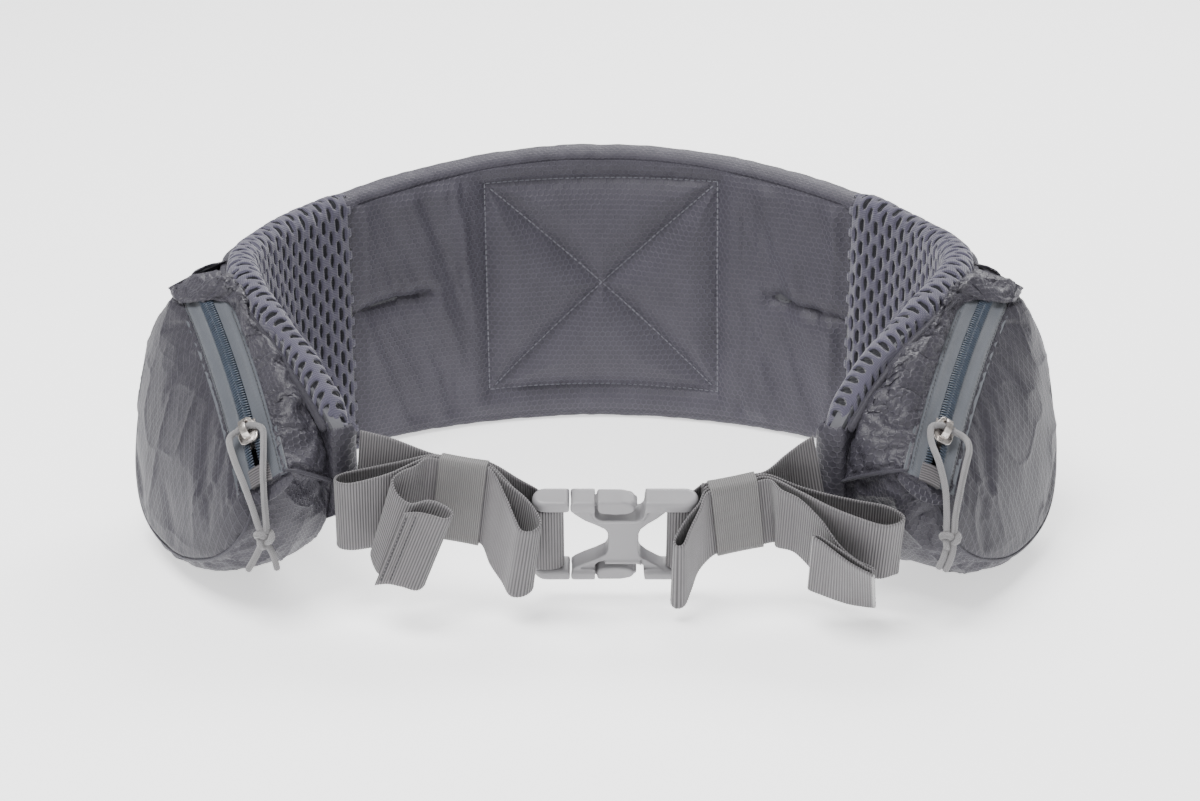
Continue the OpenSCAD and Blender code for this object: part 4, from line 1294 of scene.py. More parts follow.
def pocket(side):
    pieces = (
        ("pocket_front", panel_grid(side), RIM_OUT, "pale", "pale_cloth",
         "_main_panel", (90, 220), 8.0, 0.012, 0.4, 100),
        ("pocket_top_gusset", top_gusset_grid(side), FLAT_OUT * 0.6 + (0, -0.4, 0.8),
         "gusset", "dark_cloth", "_top_gusset", (80, 280), 5.0, 0.045, 0.9, 120),
        ("pocket_lower_gusset", bottom_gusset_grid(side), (0, 0, -1), "gusset",
         "dark_cloth", "_bottom_gusset", (80, 330), 6.0, 0.03, 0.8, 140),
    )
    out = {}
    for name, g, towards, look, slot, node, (rows, cols), cap, grow, rough, seed in pieces:
        turn = facing(g, towards)
        g = g if turn > 0 else g[::-1]
        g = billow(word(side) + name, g, 2.5, grow, 24, cap)
        g = finer(g, rows, cols)
        uv = grid_uv(g)
        if name == "pocket_front":
            v = g - POCKET_AT[side]
            uv = np.stack([v @ RIM_BACK, v @ RIM_UP], -1)
        g = wrinkle(g, uv, rough, seed + 7 * side)
        g[..., 2] = np.maximum(g[..., 2], 0.35)
        out[name] = g
        whole = flip(side, g)
        behind = flip(side, g - grid_normals(g) * CLOTH_T)
        behind[..., 2] = np.maximum(behind[..., 2], 0.7)
        ob = slab(word(side) + "_" + name, whole, CLOTH_T, M[look], uv, behind=behind)
        ride(ob, "root", slot, word(side) + node)

    def column(g, k):
        c = g[:, k]
        zip_end = by_zip(side, 0 if k == 0 else 1, 0, 0)
        near = np.linalg.norm(c[0] - zip_end) < np.linalg.norm(c[-1] - zip_end)
        c = resample(c if near else c[::-1], 1.0)[0]
        return through(c, np.linspace(0, 1, 60))

    def filler(name, a, b, puff, seam):
        f = np.linspace(-0.12 if seam else 0.02, 1.12 if seam else 0.98, 9)[:, None, None]
        mid = (a + b) / 2
        out_dir = unit(mid - from_rim(side, 60, 0, -30))
        g = a[None] + (b - a)[None] * f + out_dir[None] * (puff * np.sin(
            math.pi * np.clip(f, 0, 1)))
        g = g if facing(g, out_dir[30]) > 0 else g[::-1]
        ob = cloth(side, name, g, CLOTH_T, M["gusset"], grid_uv(g))
        ride(ob, "root", "dark_cloth")
        if seam:
            ob = tube(word(side) + name + "_seam", flip(side, mid + out_dir * (puff + 0.2)),
                      0.9, M["piping"], 8)
            ride(ob, "root", "dark_cloth")

    first, last = out["pocket_top_gusset"], out["pocket_lower_gusset"]
    filler("_pocket_tuck", column(first, 0), column(last, 0), 1.0, True)
    filler("_pocket_hood_end", column(first, -1), column(last, -1), 0.4, False)
    # Cloth behind the zip's lower end
    w = np.linspace(-15, 14, 30)[None, :] * np.ones((8, 1))
    f = np.linspace(0, 1, 8)[:, None]
    g = by_zip(side, 0.02 - 0.095 * f + 0.0002 * w ** 2 * f, w, -0.9 - 2.0 * f)
    g = g if facing(g, RIM_OUT) > 0 else g[::-1]
    ob = cloth(side, "_pocket_chin", g, CLOTH_T, M["gusset"], grid_uv(g))
    ride(ob, "root", "dark_cloth")
    e = through(PANEL_OUTLINE, np.linspace(0, 1, 260))
    seam = from_rim(side, e[:, 0], e[:, 1], 0.6)
    pipe = tube(word(side) + "_pocket_piping", flip(side, seam), 0.85, M["piping"], 8)
    ride(pipe, "root", "dark_cloth")
    lines = []
    for w, h in ((-TAPE_W / 2 + 2.6, 0.9), (TAPE_W / 2 - 2.4, 0.9)):
        last = 0.99 if w < 0 else GUSSET_END
        p = np.linspace(0.0, last, 200)
        path = by_zip(side, p, w, h)
        n = unit(by_zip(side, p, w, h + 1) - path)
        lines.append(stitch_line(flip(side, path), flip(side, n), 2.6))
    ob = stitches(word(side) + "_zip_stitches", lines, (2.0, 0.55, 0.45),
                  M["thread_dark"])
    ride(ob, "root", "dark_cloth")


for side in SIDES:
    pocket(side)


# ---- Zips --------------------------------------------------------------------

def zip_tapes(side):
    for hand, name in ((-1, "outer"), (1, "inner")):
        cols, rows = 240, 14
        p, w = steps(rows, cols, (-0.015, ZIP_TOP), (3.1, TAPE_W / 2 + 0.6))
        spread = 1.1 * smooth(SLIDER_AT, SLIDER_AT - 0.07, p) * smooth(0.0, 0.05, p)
        s = p * ZIP_LEN
        ww = w + spread * (1 - (w - 3.1) / 10)
        flat = in_flat(s, w)
        h = (0.45 * np.exp(-((w - 8.4) / 1.1) ** 2)
             + 0.25 * noise(flat / (16, 5, 1), 200 + hand)
             - 0.25 * smooth(9, 12.5, w) + 0.55 * np.exp(-((w - 3.4) / 0.8) ** 2))
        g = by_zip(side, p, hand * ww, h)
        uv = np.stack([s, w], -1)
        if facing(g, by_zip(side, 0.5, 0, 1) - by_zip(side, 0.5, 0, 0)) < 0:
            g, uv = g[::-1], uv[::-1]
        ob = cloth(side, "_zip_tape_" + name, g, 0.7, M["tape"], uv)
        ride(ob, "root", "zip_tape", word(side) + "_zip_tapes")


def zip_coil(side):
    pitch = 1.5
    count = int(ZIP_LEN * 0.985 / pitch)
    c, d, n, size = [], [], [], []
    for hand in (-1, 1):
        p = (np.arange(count) + (0.25 if hand > 0 else 0.75)) * pitch / ZIP_LEN
        p = p[(p > 0.045) & (p < ZIP_TOP)]
        open_by = 1.5 * smooth(SLIDER_AT - 0.02, SLIDER_AT - 0.05, p)
        a = by_zip(side, p - 0.0022, hand * (3.25 + open_by), 0.9)
        b = by_zip(side, p + 0.0022, hand * (-0.25 + open_by), 1.25)
        c.append((a + b) / 2)
        d.append(b - a)
        n.append(unit(by_zip(side, p, 0, 1) - by_zip(side, p, 0, 0)))
        size.append(np.tile([3.9, 1.15, 1.25], (len(p), 1)))
    c, d, n, size = (np.concatenate(x) for x in (c, d, n, size))
    ob = beads(word(side) + "_zip_teeth", flip(side, c), flip(side, d), flip(side, n),
               size, M["coil"])
    ride(ob, "root", "zip_coil", word(side) + "_zip_coil")
    core = by_zip(side, np.linspace(SLIDER_AT, ZIP_TOP, 200), 0, 0.35)
    ob = tube(word(side) + "_zip_core", flip(side, core), 1.0, M["coil"], 8)
    ride(ob, "root", "zip_coil")


def drawn_out(points, axis, end):
    """A closed prism: a face through points, drawn out to end along an axis."""
    bm = bmesh.new()
    face = bm.faces.new([bm.verts.new(p) for p in points])
    ext = bmesh.ops.extrude_face_region(bm, geom=[face])
    for v in ext["geom"]:
        if isinstance(v, bmesh.types.BMVert):
            v.co[axis] = end
    bmesh.ops.recalc_face_normals(bm, faces=bm.faces)
    return bm


def bevelled_prism(name, outline, z0, z1, place, material, bevel=0.4, segments=2):
    """A prism on an outline, its edges rounded, moved by place(x, y, z)."""
    bm = drawn_out([(x / 1000, y / 1000, z0 / 1000) for x, y in outline], 2, z1 / 1000)
    bmesh.ops.bevel(bm, geom=list(bm.edges), offset=bevel / 1000, segments=segments,
                    affect="EDGES", profile=0.6)
    for v in bm.verts:
        q = place(v.co.x * 1000, v.co.y * 1000, v.co.z * 1000)
        v.co = put(q)
    bmesh.ops.recalc_face_normals(bm, faces=bm.faces)
    me = bpy.data.meshes.new(name)
    bm.to_mesh(me)
    bm.free()
    me.polygons.foreach_set("use_smooth", [True] * len(me.polygons))
    me.set_sharp_from_angle(angle=rad(38))
    me.materials.append(material)
    ob = bpy.data.objects.new(name, me)
    link(ob)
    return ob


def merged(name, obs):
    """Join pieces that are already in place into one."""
    bm = bmesh.new()
    for o in obs:
        bm.from_mesh(o.data)
    me = bpy.data.meshes.new(name)
    bm.to_mesh(me)
    bm.free()
    me.materials.append(obs[0].data.materials[0])
    me.set_sharp_from_angle(angle=rad(38))
    out = bpy.data.objects.new(name, me)
    link(out)
    for o in obs:
        bpy.data.objects.remove(o)
    return out


def slider(side):
    def place(x, y, z):
        return flip(side, by_zip(side, SLIDER_AT - y / ZIP_LEN, x, z))

    shield = [(-2.6, 7), (2.6, 7), (4.2, 5.9), (4.9, 3.2), (4.9, -0.2), (4.1, -3.4),
              (2.8, -6.2), (1.5, -7.2), (-1.5, -7.2), (-2.8, -6.2), (-4.1, -3.4),
              (-4.9, -0.2), (-4.9, 3.2), (-4.2, 5.9)]
    parts = [bevelled_prism("a", shield, 2.3, 3.7, place, M["metal"], 0.45, 3),
             bevelled_prism("b", shield, -2.8, -1.6, place, M["metal"], 0.35)]
    for hand in (-1, 1):
        wall = [(hand * x, y) for x, y in ((4, -4.8), (5, -4.8), (5, 3.2), (4, 3.2))]
        parts.append(bevelled_prism("c", wall, 2.1, 3.2, place, M["metal"], 0.2))
    # The crown: a strap of metal bent over the cord
    arch = [(-5.6, 3.4), (-5.2, 5.4), (-3.6, 7.6), (-1.2, 8.6), (1.6, 8.5),
            (3.8, 7.2), (5.0, 5.2), (5.4, 3.4)]
    inner = [(4.3, 3.4), (3.9, 5.0), (2.9, 6.6), (1.2, 7.4), (-1.0, 7.5), (-2.9, 6.8),
             (-4.1, 5.0), (-4.5, 3.4)]

    def upright(x, y, z):
        return place(z, x, y)

    parts.append(bevelled_prism("e", arch + inner, -1.7, 1.7, upright, M["metal"], 0.35))
    parts.append(bevelled_prism("f", [(-2.6, 4.4), (2.6, 4.4), (1.9, 7.0), (-1.9, 7.0)],
                                3.6, 4.3, place, M["metal"], 0.25))
    ob = merged(word(side) + "_slider_body", parts)
    ride(ob, word(side) + "_slider", "slider_metal", word(side) + "_slider")
    # A folded tab of webbing closes the zip's lower end
    rows, cols = 12, 16
    x, y = steps(rows, cols, (-5.4, 5.4), (-5, 4.6))
    h = 1.5 + 0.5 * np.exp(-((y + 4.2) / 1.1) ** 2) - 0.03 * x ** 2
    g = by_zip(side, 0.012 - y / ZIP_LEN, x, h)
    uv = np.stack([y, x], -1)
    if facing(g, by_zip(side, 0, 0, 1) - by_zip(side, 0, 0, 0)) < 0:
        g, uv = g[::-1], uv[::-1]
    ob = cloth(side, "_zip_end_tab", g, 1.3, M["tab"], uv)
    ride(ob, "root", "webbing", word(side) + "_zip_stop")


for side in SIDES:
    zip_tapes(side)
    zip_coil(side)
    slider(side)


# ---- Webbing -----------------------------------------------------------------

WEB_W, WEB_T, WEB_SWAY = 38.0, 1.3, 0.3
KEEPER = {-1: (np.array([-64.0, -121, 57]), (0, 7, -8)),
          1: (np.array([62.5, -118.8, 48.7]), (16, -9, 8))}
LAYER_Y = [3.4, 0.95, -0.95, -3.0]
RUN_IN, RUN_OUT = 12.2, 16.4
BUCKLE_AT = np.array([7.0, -118, 38])
BUCKLE_TURN = 22
BUCKLE_LEAN = rad(BUCKLE_TURN)
LEAN_B = -math.tan(BUCKLE_LEAN)
LABEL_AT, LABEL_TURN = np.array([-103.5, -111.4, 62]), (0, 6, -18)


def turned(v, a):
    x, y, z = v
    ax, ay, az = (rad(q) for q in a)
    y, z = y * math.cos(ax) - z * math.sin(ax), y * math.sin(ax) + z * math.cos(ax)
    x, z = x * math.cos(ay) + z * math.sin(ay), z * math.cos(ay) - x * math.sin(ay)
    x, y = x * math.cos(az) - y * math.sin(az), x * math.sin(az) + y * math.cos(az)
    return np.array([x, y, z])


def keeper_run(side, k, from_left):
    at, a = KEEPER[side]
    run_points = 4
    x0, x1 = (-RUN_OUT, RUN_IN) if side < 0 else (-RUN_IN, RUN_OUT)
    out = []
    for i in range(run_points):
        f = (i if from_left else run_points - 1 - i) / (run_points - 1)
        x = x0 + (x1 - x0) * f
        top = at + turned((x, LAYER_Y[k], WEB_W / 2), a)
        lean = top - (at + turned((x, LAYER_Y[k], -WEB_W / 2), a))
        out.append((*top, lean[0] / lean[2], lean[1] / lean[2]))
    return out


def by_bar(x, y, z, lean=LEAN_B):
    v = turned((x, y, z), (BUCKLE_TURN, 0, 0))
    return (*(BUCKLE_AT + v), 0, lean)


LEFT_STRAP = ([(-110, -107.6, 85.6, .1, 0), (-103, -109.4, 84.6, .1, 0),
               (-94, -112, 83, .12, 0)] + keeper_run(-1, 0, True)
              + [by_bar(-44, 9.2, 27, -.25), by_bar(-37, 8.2, 22.5, -.35),
                 by_bar(-33, 7.4, 19.4), by_bar(-31, 6.4, 19), by_bar(-28.2, 3.9, 19)])
LEFT_TAIL = ([by_bar(-27.3, 3.7, 19), by_bar(-25, 2.3, 19), by_bar(-24.3, 0, 19),
              by_bar(-25, -2.3, 19), by_bar(-28, -3.7, 19), by_bar(-33, -4.2, 19),
              by_bar(-38.5, -3.4, 19.4), by_bar(-44, 1.5, 25, -.25)]
             + keeper_run(-1, 1, False)
             + [(-92, -118, 74.5, .03, -.1), (-107, -117.5, 71, .03, -.2),
                (-117, -119.5, 69.5, .02, -.24), (-120.5, -124.5, 69.5, .02, -.24),
                (-119, -130.5, 69.7, .02, -.24), (-113, -133.5, 70.2, .02, -.24),
                (-104, -131.5, 71.5, .03, -.2), (-94, -128, 73.5, .06, -.1)]
             + keeper_run(-1, 2, True)
             + [(-43, -127, 68.5, .2, -.2), (-34, -131.5, 62.5, .16, -.24),
                (-28.5, -136.5, 57, .12, -.24), (-27, -141, 53.5, .12, -.24),
                (-30.5, -144.5, 51.5, .14, -.24), (-35.5, -143.5, 51.5, .16, -.24),
                (-38.8, -139, 56, .17, -.24), (-43, -133, 64, .2, -.15)]
             + keeper_run(-1, 3, False)
             + [(-84, -127, 76, .2, 0), (-90, -130, 74.5, .28, 0),
                (-93.5, -134, 72, .3, 0), (-91, -139, 67, .32, 0),
                (-85, -143, 64.5, .4, 0), (-77, -143, 66, .4, 0),
                (-70, -144, 64, .4, 0), (-66, -147, 61.5, .4, 0),
                (-69, -151, 60.5, .4, 0), (-76, -150, 62, .4, 0),
                (-82, -148.5, 62.5, .4, 0), (-88, -147.5, 61.5, .4, 0)])
RIGHT_STRAP = ([(98, -107.8, 83, -.2, .15), (92, -110, 80, -.15, 0),
                (85, -112.2, 75.2, -.1, -.15)] + keeper_run(1, 0, False)
               + [by_bar(40, 8.3, 25), by_bar(36, 8, 20.8), by_bar(33, 7.3, 19.1),
                  by_bar(31, 6.3, 19), by_bar(28.2, 3.9, 19)])
RIGHT_TAIL = ([by_bar(27.3, 3.7, 19), by_bar(25, 2.3, 19), by_bar(24.3, 0, 19),
               by_bar(25, -2.3, 19), by_bar(28, -3.7, 19), by_bar(33, -3.2, 19),
               by_bar(38.2, -.8, 19.2), by_bar(41, 2.2, 24)]
              + keeper_run(1, 1, True)
              + [(90, -123.5, 65, 0, -.35), (103, -128.5, 63, 0, -.35),
                 (117, -134, 62, 0, -.3), (129, -140, 62, 0, -.3),
                 (136, -145.5, 60, 0, -.4), (134.5, -149.8, 58.5, 0, -.5),
                 (127, -151.5, 57.5, 0, -.5), (115, -149.5, 60.5, 0, -.5),
                 (103, -144, 63.5, 0, -.5), (91, -136, 67, 0, -.4)]
              + keeper_run(1, 2, False)
              + [(45, -132.5, 60, .02, -.35), (40.5, -135.5, 55.5, .02, -.35),
                 (36.5, -138.5, 50.5, .02, -.3), (33.8, -141.5, 46, .02, -.3),
                 (34.8, -144.5, 44.3, 0, -.3), (38, -143.5, 45, -.02, -.3),
                 (41, -140, 51, -.02, -.3), (45.5, -135, 58.5, 0, -.32)]
              + keeper_run(1, 3, True)
              + [(82, -134.5, 67.5, 0, -.42), (90, -139.5, 65, 0, -.5),
                 (99, -146, 58, 0, -.5), (107, -151, 48, -.1, -.55),
                 (115, -153.5, 41.5, -.1, -.7), (121.5, -154.5, 38.5, -.1, -.8),
                 (122.5, -156.5, 37.8, -.1, -.8), (117, -157, 41, -.1, -.7),
                 (106, -154.5, 48, -.05, -.55), (98, -153, 53, 0, -.5),
                 (95.5, -154.8, 53.5, 0, -.5), (100, -157, 51, 0, -.55),
                 (111, -159.3, 43, -.1, -.7), (122, -159.3, 36.5, -.15, -.9)])


def ribbon(name, stations, seed):
    """Grosgrain webbing: real ribs along its length and beaded selvedges."""
    dense = through(stations, np.linspace(0, 1, 60 * len(stations)))
    path, s = resample(dense, RIB / 4)
    top, lean = path[:, :3], path[:, 3:]
    across = unit(np.concatenate([lean, np.ones((len(lean), 1))], 1))
    n = unit(np.cross(unit(np.gradient(top, axis=0)), across))
    crest = 0.5 + 0.5 * np.sin(2 * math.pi * s / RIB)
    half = WEB_T / 2 - 0.16 + 0.2 * crest
    w = np.array([0, 0.35, 1.1, 2.2, 9, 19, 29, 35.8, 36.9, 37.65, 38])
    lip = np.array([0.42, 0.9, 1.12, 1.0, 1, 1, 1, 1.0, 1.12, 0.9, 0.42])
    cup = WEB_SWAY * np.sin(math.pi * w / WEB_W)
    rows = []
    wander = noise(np.stack([s / 30, 0 * s, 0 * s + seed], -1), seed) * WEB_SWAY
    for face in (1, -1):
        order = range(len(w)) if face > 0 else range(len(w) - 1, -1, -1)
        for k in order:
            bead = 0.22 * crest if k in (0, len(w) - 1) else 0
            ww = w[k] - bead if k == 0 else w[k] + bead
            off = face * half * lip[k] + cup[k] * wander
            rows.append(top - across * np.broadcast_to(ww, s.shape)[:, None]
                        + n * off[:, None])
    ring = np.stack(rows, 1)
    cols = ring.shape[1]
    verts = ring.reshape(-1, 3)
    faces = grid_faces(len(s), cols, wrap=True).tolist()
    last = (len(s) - 1) * cols
    half_n = cols // 2
    for start, rev in ((0, False), (last, True)):
        for k in range(half_n - 1):
            q = [start + k, start + k + 1, start + cols - 2 - k, start + cols - 1 - k]
            faces.append(q[::-1] if rev else q)
    v = np.tile(np.concatenate([w, w[::-1]]), len(s))
    uv = np.stack([np.repeat(s, cols), v], -1)
    ob = outward(build(name, verts, faces, M["web"], uv, 60))
    return ob, path, n, across


def straps():
    left, *_ = ribbon("left_strap_web", LEFT_STRAP, 3)
    tail, path, n, across = ribbon("left_strap_tail_web", LEFT_TAIL, 4)
    right, *_ = ribbon("right_strap_web", RIGHT_STRAP, 5)
    rtail, rpath, _, racross = ribbon("right_strap_tail_web", RIGHT_TAIL, 6)
    for ob, node in ((left, "left_strap"), (tail, "left_strap_tail"),
                     (right, "right_strap"), (rtail, "right_strap_tail")):
        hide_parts(node)
    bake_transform(left)
    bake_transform(tail)
    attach(right, "root")
    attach(rtail, "root")
    # The hem at the left tail's end: two rows of dark stitches
    lines = []
    for k in (8, 22):
        top = path[-k, :3]
        w = np.linspace(2, WEB_W - 2, 60)[:, None]
        p = top - across[-k] * w
        for face in (1, -1):
            lines.append(stitch_line(p + face * n[-k] * 0.75,
                                     np.tile(face * n[-k], (60, 1)), 2.0))
    ob = stitches("left_tail_stitches", lines, (1.6, 0.6, 0.5), M["thread_dark"])
    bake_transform(ob)
    # A heat-cut edge on the right tail
    top = rpath[-1, :3]
    w = np.linspace(0.2, 37.8, 60)[:, None]
    edge = top - racross[-1] * w + 0.12 * np.sin(w * 3.1)
    ob = tube("right_tail_cut_edge", edge, 0.85, M["label_edge"], 8,
              lambda s, a: 0.12 * np.sin(s * 5.1) * np.cos(a))
    ride(ob, "root", "webbing")


def keeper(side):
    """A flat sleeve of woven elastic; its lapped join at the back is not drawn."""
    at, a = KEEPER[side]
    half_y, half_z, r = 4.95, 20.15, 2.6
    ring = []
    y, z = half_y - r, half_z - r
    for cy, cz, a0 in ((y, z, 0), (-y, z, 90), (-y, -z, 180), (y, -z, 270)):
        for k in range(9):
            b = rad(a0 + k * 90 / 8)
            ring.append((cy + r * math.cos(b), cz + r * math.sin(b)))
    ring = np.array(ring + ring[:1])
    ring, length = resample(ring, 1.2)
    ring, length = ring[:-1], length[:-1]
    xs = np.arange(-11, 11.001, ELASTIC_RIB / 4)
    crest = 0.5 + 0.5 * np.sin(2 * math.pi * xs / ELASTIC_RIB)
    ends = np.minimum(smooth(-11.2, -10.5, xs), smooth(11.2, 10.5, xs))
    outer, inner = [], []
    cen = unit(ring)
    for x, c, e in zip(xs, crest, ends):
        waist = 1 - 0.012 * math.cos(x / 11 * math.pi / 2)
        outer.append([at + turned((x, *(q * waist + m * (0.15 + 0.16 * c) * e)), a)
                      for q, m in zip(ring, cen)])
        inner.append([at + turned((x, *(q - m * 0.75)), a) for q, m in zip(ring, cen)])
    outer, inner = np.array(outer), np.array(inner)
    rows, cols = outer.shape[:2]
    verts = np.concatenate([outer.reshape(-1, 3), inner.reshape(-1, 3)])
    half = rows * cols
    faces = [grid_faces(rows, cols, wrap=True), grid_faces(rows, cols, half, True, True)]
    k = np.arange(cols)
    k1 = (k + 1) % cols
    for r0 in (0, (rows - 1) * cols):
        faces.append(np.stack([r0 + k, r0 + k1, half + r0 + k1, half + r0 + k], -1))
    uv = np.stack([np.repeat(xs, cols), np.tile(length, rows)], -1)
    ob = outward(build(word(side) + "_keeper_sleeve", verts, np.concatenate(faces),
                       M["elastic"], np.concatenate([uv, uv]), 60))
    ride(ob, word(side) + "_keeper", "elastic", word(side) + "_keeper")


straps()
for side in SIDES:
    keeper(side)


def label():
    rows, cols = 14, 18
    x, z = steps(rows, cols, (-5, 5), (-4.5, 4.5))
    y = 0.25 * np.sin(x * 0.5) + 0.12 * np.cos(z)
    g = np.array([[LABEL_AT + turned((x[r, c], y[r, c] - 0.25, z[r, c]), LABEL_TURN)
                   for c in range(cols)] for r in range(rows)])
    uv = np.stack([x, z], -1)
    if facing(g, (0, 1, 0)) > 0:
        g, uv = g[::-1], uv[::-1]
    ob = slab("care_tab", g, 0.4, M["label"], uv)
    ride(ob, "root", "label", "care_label")
    edge = np.array([LABEL_AT + turned((q, -0.35, -4.5), LABEL_TURN)
                     for q in np.linspace(-4.6, 4.6, 24)])
    ob = tube("care_tab_edge", edge, 0.45, M["label_edge"], 8)
    ride(ob, "root", "label")


label()


# ---- Buckle ------------------------------------------------------------------

RAIL_Z, RAIL_R, RAIL_Y, MOUTH_X, BAR_X = 22.4, 3.1, 6.0, -20.5, 28.0
MELT_VOXEL = 0.42


def solid_prism(outline, y0, y1, bevel=1.2, segments=3):
    """A prism in the buckle's own frame, its outline in X and Z."""
    bm = drawn_out([(x, y0, z) for x, z in outline], 1, y1)
    if bevel:
        bmesh.ops.bevel(bm, geom=list(bm.edges), offset=bevel, segments=segments,
                        affect="EDGES", profile=0.5, clamp_overlap=True)
    return bm


def to_object(name, bms):
    """One object in metres from meshes in millimetres."""
    me = bpy.data.meshes.new(name)
    whole = bmesh.new()
    for bm in bms:
        tmp = bpy.data.meshes.new("tmp")
        bm.to_mesh(tmp)
        bm.free()
        whole.from_mesh(tmp)
        bpy.data.meshes.remove(tmp)
    for v in whole.verts:
        v.co *= 0.001
    whole.to_mesh(me)
    whole.free()
    ob = bpy.data.objects.new(name, me)
    link(ob)
    return ob


def apply_all(ob):
    me = bpy.data.meshes.new_from_object(
        ob.evaluated_get(bpy.context.evaluated_depsgraph_get()))
    old = ob.data
    ob.modifiers.clear()
    ob.data = me
    bpy.data.meshes.remove(old)


def melt(ob):
    mod = ob.modifiers.new("melt", "REMESH")
    mod.mode = "VOXEL"
    mod.voxel_size = MELT_VOXEL / 1000
    apply_all(ob)


def moulded(name, add, cut, material):
    """Melt prisms into one moulded shape with small fillets."""
    ob = to_object(name, add)
    melt(ob)
    for piece in cut:
        tool = to_object(name + "_cut", [piece])
        mod = ob.modifiers.new("cut", "BOOLEAN")
        mod.operation = "DIFFERENCE"
        mod.solver = "EXACT"
        mod.object = tool
        apply_all(ob)
        bpy.data.objects.remove(tool)
    if cut:
        melt(ob)
    mod = ob.modifiers.new("soften", "SMOOTH")
    mod.factor = 0.5
    mod.iterations = 3
    apply_all(ob)
    me = ob.data
    co = np.zeros(len(me.vertices) * 3, np.float32)
    me.vertices.foreach_get("co", co)
    co = co.reshape(-1, 3).astype(float) * 1000
    c, s = math.cos(BUCKLE_LEAN), math.sin(BUCKLE_LEAN)
    co = np.stack([co[:, 0], co[:, 1] * c - co[:, 2] * s, co[:, 1] * s + co[:, 2] * c], -1)
    me.vertices.foreach_set("co", put(co + BUCKLE_AT).astype(np.float32).ravel())
    me.polygons.foreach_set("use_smooth", [True] * len(me.polygons))
    me.materials.clear()
    me.materials.append(material)
    me.update()
    return ob


def capsule_rail(x0, x1, z, end0=False, end1=False):
    """A flat bar with round edges and, where asked, a round end."""
    outline = []
    r = RAIL_Y
    if end1:
        outline += [(x1 + r * math.cos(a), r * math.sin(a))
                    for a in np.linspace(-math.pi / 2, math.pi / 2, 15)]
    else:
        outline += [(x1, -r), (x1, r)]
    if end0:
        outline += [(x0 - r * math.cos(a), -r * math.sin(a))
                    for a in np.linspace(-math.pi / 2, math.pi / 2, 15)]
    else:
        outline += [(x0, r), (x0, -r)]
    bm = drawn_out([(x, y, z - RAIL_R) for x, y in outline], 2, z + RAIL_R)
    edges = [e for e in bm.edges if abs(e.verts[0].co.z - e.verts[1].co.z) < 0.1]
    bmesh.ops.bevel(bm, geom=edges, offset=2.3, segments=5, affect="EDGES",
                    profile=0.5, clamp_overlap=True)
    return bm


def bar(x, r=2.5):
    bm = bmesh.new()
    bmesh.ops.create_cone(bm, cap_ends=True, segments=20, radius1=r, radius2=r, depth=44)
    for v in bm.verts:
        v.co.x += x
    return bm


def flipped_z(outline):
    return [(x, -z) for x, z in outline]


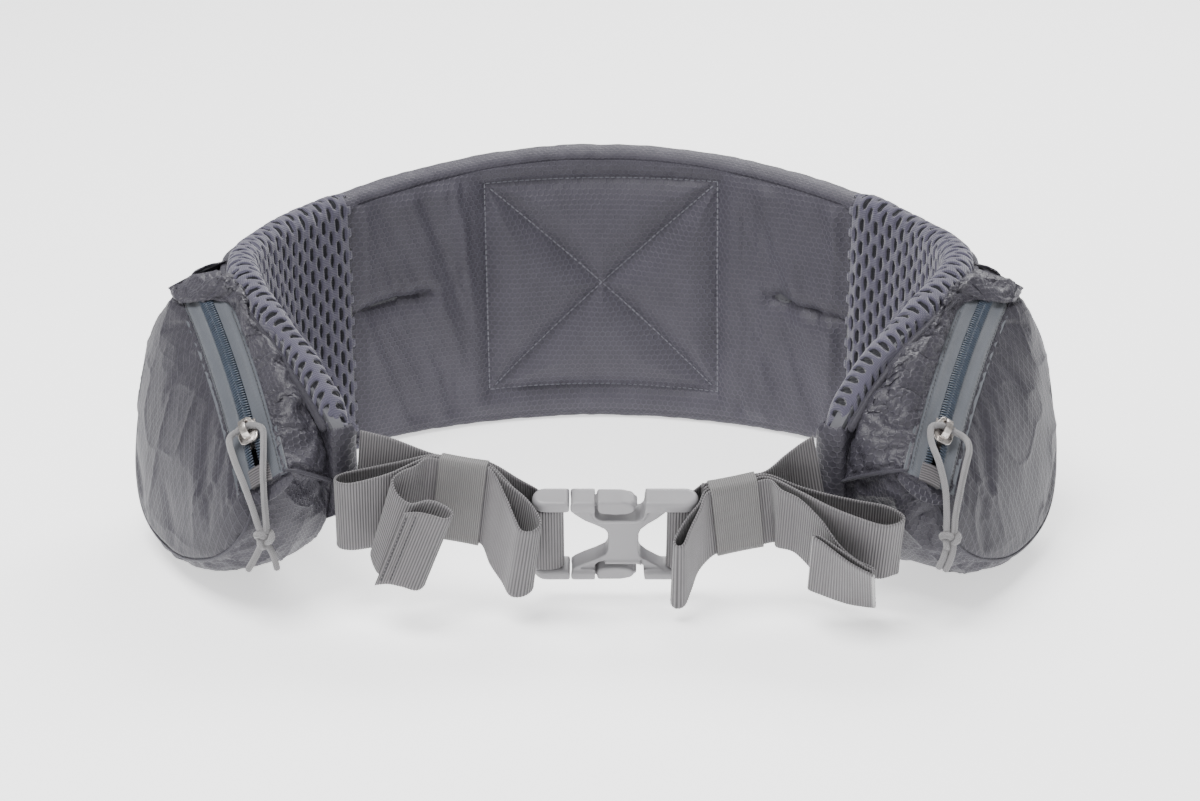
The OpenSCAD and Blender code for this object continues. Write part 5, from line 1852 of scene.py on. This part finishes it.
def buckle():
    plate = [(MOUTH_X, 21), (MOUTH_X, 19.5), (-18.4, 17), (-14, 13.2), (-8.4, 10),
             (-4.6, 7.4), (-3.4, 4.5), (-3.4, -6), (-4.6, -9), (-9, -12), (-14, -14.6),
             (-19, -17.8), (MOUTH_X, -20), (MOUTH_X, -21), (24, -21), (23.4, -19.6),
             (19.5, -17.4), (14.5, -13.6), (11.6, -10.2), (10.8, -7), (10.8, 4.4),
             (11.8, 7.6), (15, 11), (19.4, 14.6), (23.4, 19), (24, 21)]
    ridge = [(-9.3, 13.6), (-7.4, 12.4), (11.2, 12.4), (13, 13.6), (15.6, 19.5),
             (-12, 19.5)]
    add = [capsule_rail(MOUTH_X, 32, RAIL_Z, end1=True),
           capsule_rail(MOUTH_X, 32, -RAIL_Z, end1=True),
           solid_prism(plate, -4.4, 4.4, 1.5), solid_prism(ridge, -5.6, 5.6, 1.2),
           solid_prism(flipped_z(ridge), -5.2, 5.2, 1.2), bar(BAR_X)]
    cut = []
    for s in (1, -1):
        notch = [(-9.3, 17.0 * s), (-7.6, 15.2 * s), (-5.2, 14.5 * s), (9.6, 14.5 * s),
                 (11.8, 15.2 * s), (13, 17.0 * s), (14.4, 30 * s), (-9.3, 30 * s)]
        cut.append(solid_prism(notch if s > 0 else notch[::-1], -9, 9, 0))
        sleeve = [(MOUTH_X - 1, 20 * s), (14, 20 * s), (14, 24.3 * s),
                  (MOUTH_X - 1, 24.3 * s)]
        cut.append(solid_prism(sleeve if s > 0 else sleeve[::-1], -3.6, 3.6, 0))
    # Hollows in the waist's lower flares
    for outline in ([(-17.2, -18.6), (-8, -13.4), (-4.2, -12.2), (-6, -18.6)],
                    [(21.6, -18.6), (14.2, -13.4), (11.4, -12.2), (13.4, -18.6)]):
        cut.append(solid_prism(outline, -6, -3.3, 0))
    ob = moulded("buckle_frame", add, cut, M["plastic"])
    ride(ob, "root", "buckle_plastic", "buckle_female")
    add = [capsule_rail(-32, MOUTH_X - 0.5, RAIL_Z, end0=True),
           capsule_rail(-32, MOUTH_X - 0.5, -RAIL_Z, end0=True), bar(-BAR_X)]
    ob = moulded("buckle_prong_frame", add, [], M["plastic"])
    ride(ob, "male", "buckle_plastic", "buckle_male")
    lobe_z = RAIL_Z + RAIL_R
    for s, name, body in ((1, "top", "arm_top"), (-1, "bottom", "arm_bottom")):
        stem = [(MOUTH_X + 0.4, 21.2), (-8.6, 21.2), (6, 20.6), (9.6, 20.9), (10.4, 22.3),
                (8, 24.3), (-8.6, 23.8), (MOUTH_X + 0.4, 23.8)]
        lobe = [(-8.4, 19.6), (-6.4, 18.0), (0, 17.3), (6, 17.8), (8.8, 19.6), (9.2, 22),
                (7.6, 24.2), (3, lobe_z), (-8.4, lobe_z + 0.1)]
        stem = stem if s > 0 else flipped_z(stem)[::-1]
        lobe = lobe if s > 0 else flipped_z(lobe)[::-1]
        add = [solid_prism(stem, -3.2, 3.2, 0.8), solid_prism(lobe, -4.9, 4.9, 2.0, 4)]
        ob = moulded("buckle_latch_" + name, add, [], M["plastic"])
        ride(ob, body, "buckle_plastic", "latch_arm_" + name)


buckle()


# ---- Floor and finish --------------------------------------------------------

def floor():
    s = Shader("floor_paper")
    tone = s.mix(s.noise(3, 3), (0.93, 0.93, 0.935), (0.96, 0.96, 0.965))
    s.finish(tone, 0.6, Specular_IOR_Level=0.2, Emission_Color=(1, 1, 1, 1),
             Emission_Strength=1.05)
    me = bpy.data.meshes.new("floor")
    half = 90
    me.from_pydata([(-half, -half, 0), (half, -half, 0), (half, half, 0), (-half, half, 0)],
                   [], [(0, 1, 2, 3)])
    me.materials.append(s.material)
    ob = bpy.data.objects.new("floor", me)
    link(ob)


floor()
world = bpy.data.worlds.new("studio")
world.use_nodes = True
world.node_tree.nodes["Background"].inputs[0].default_value = (1, 1, 1, 1)
world.node_tree.nodes["Background"].inputs[1].default_value = 0.5
scene.world = world
area_light("key", (-0.5, -0.5, 1.9), (0, 0, 0.05), (1.0, 1.0), 62)
area_light("back", (0.5, 1.4, 1.5), (0, 0, 0.08), (1.4, 0.8), 44)
area_light("front", (0.3, -1.8, 0.8), (0, 0, 0.06), (1.6, 1.0), 6)
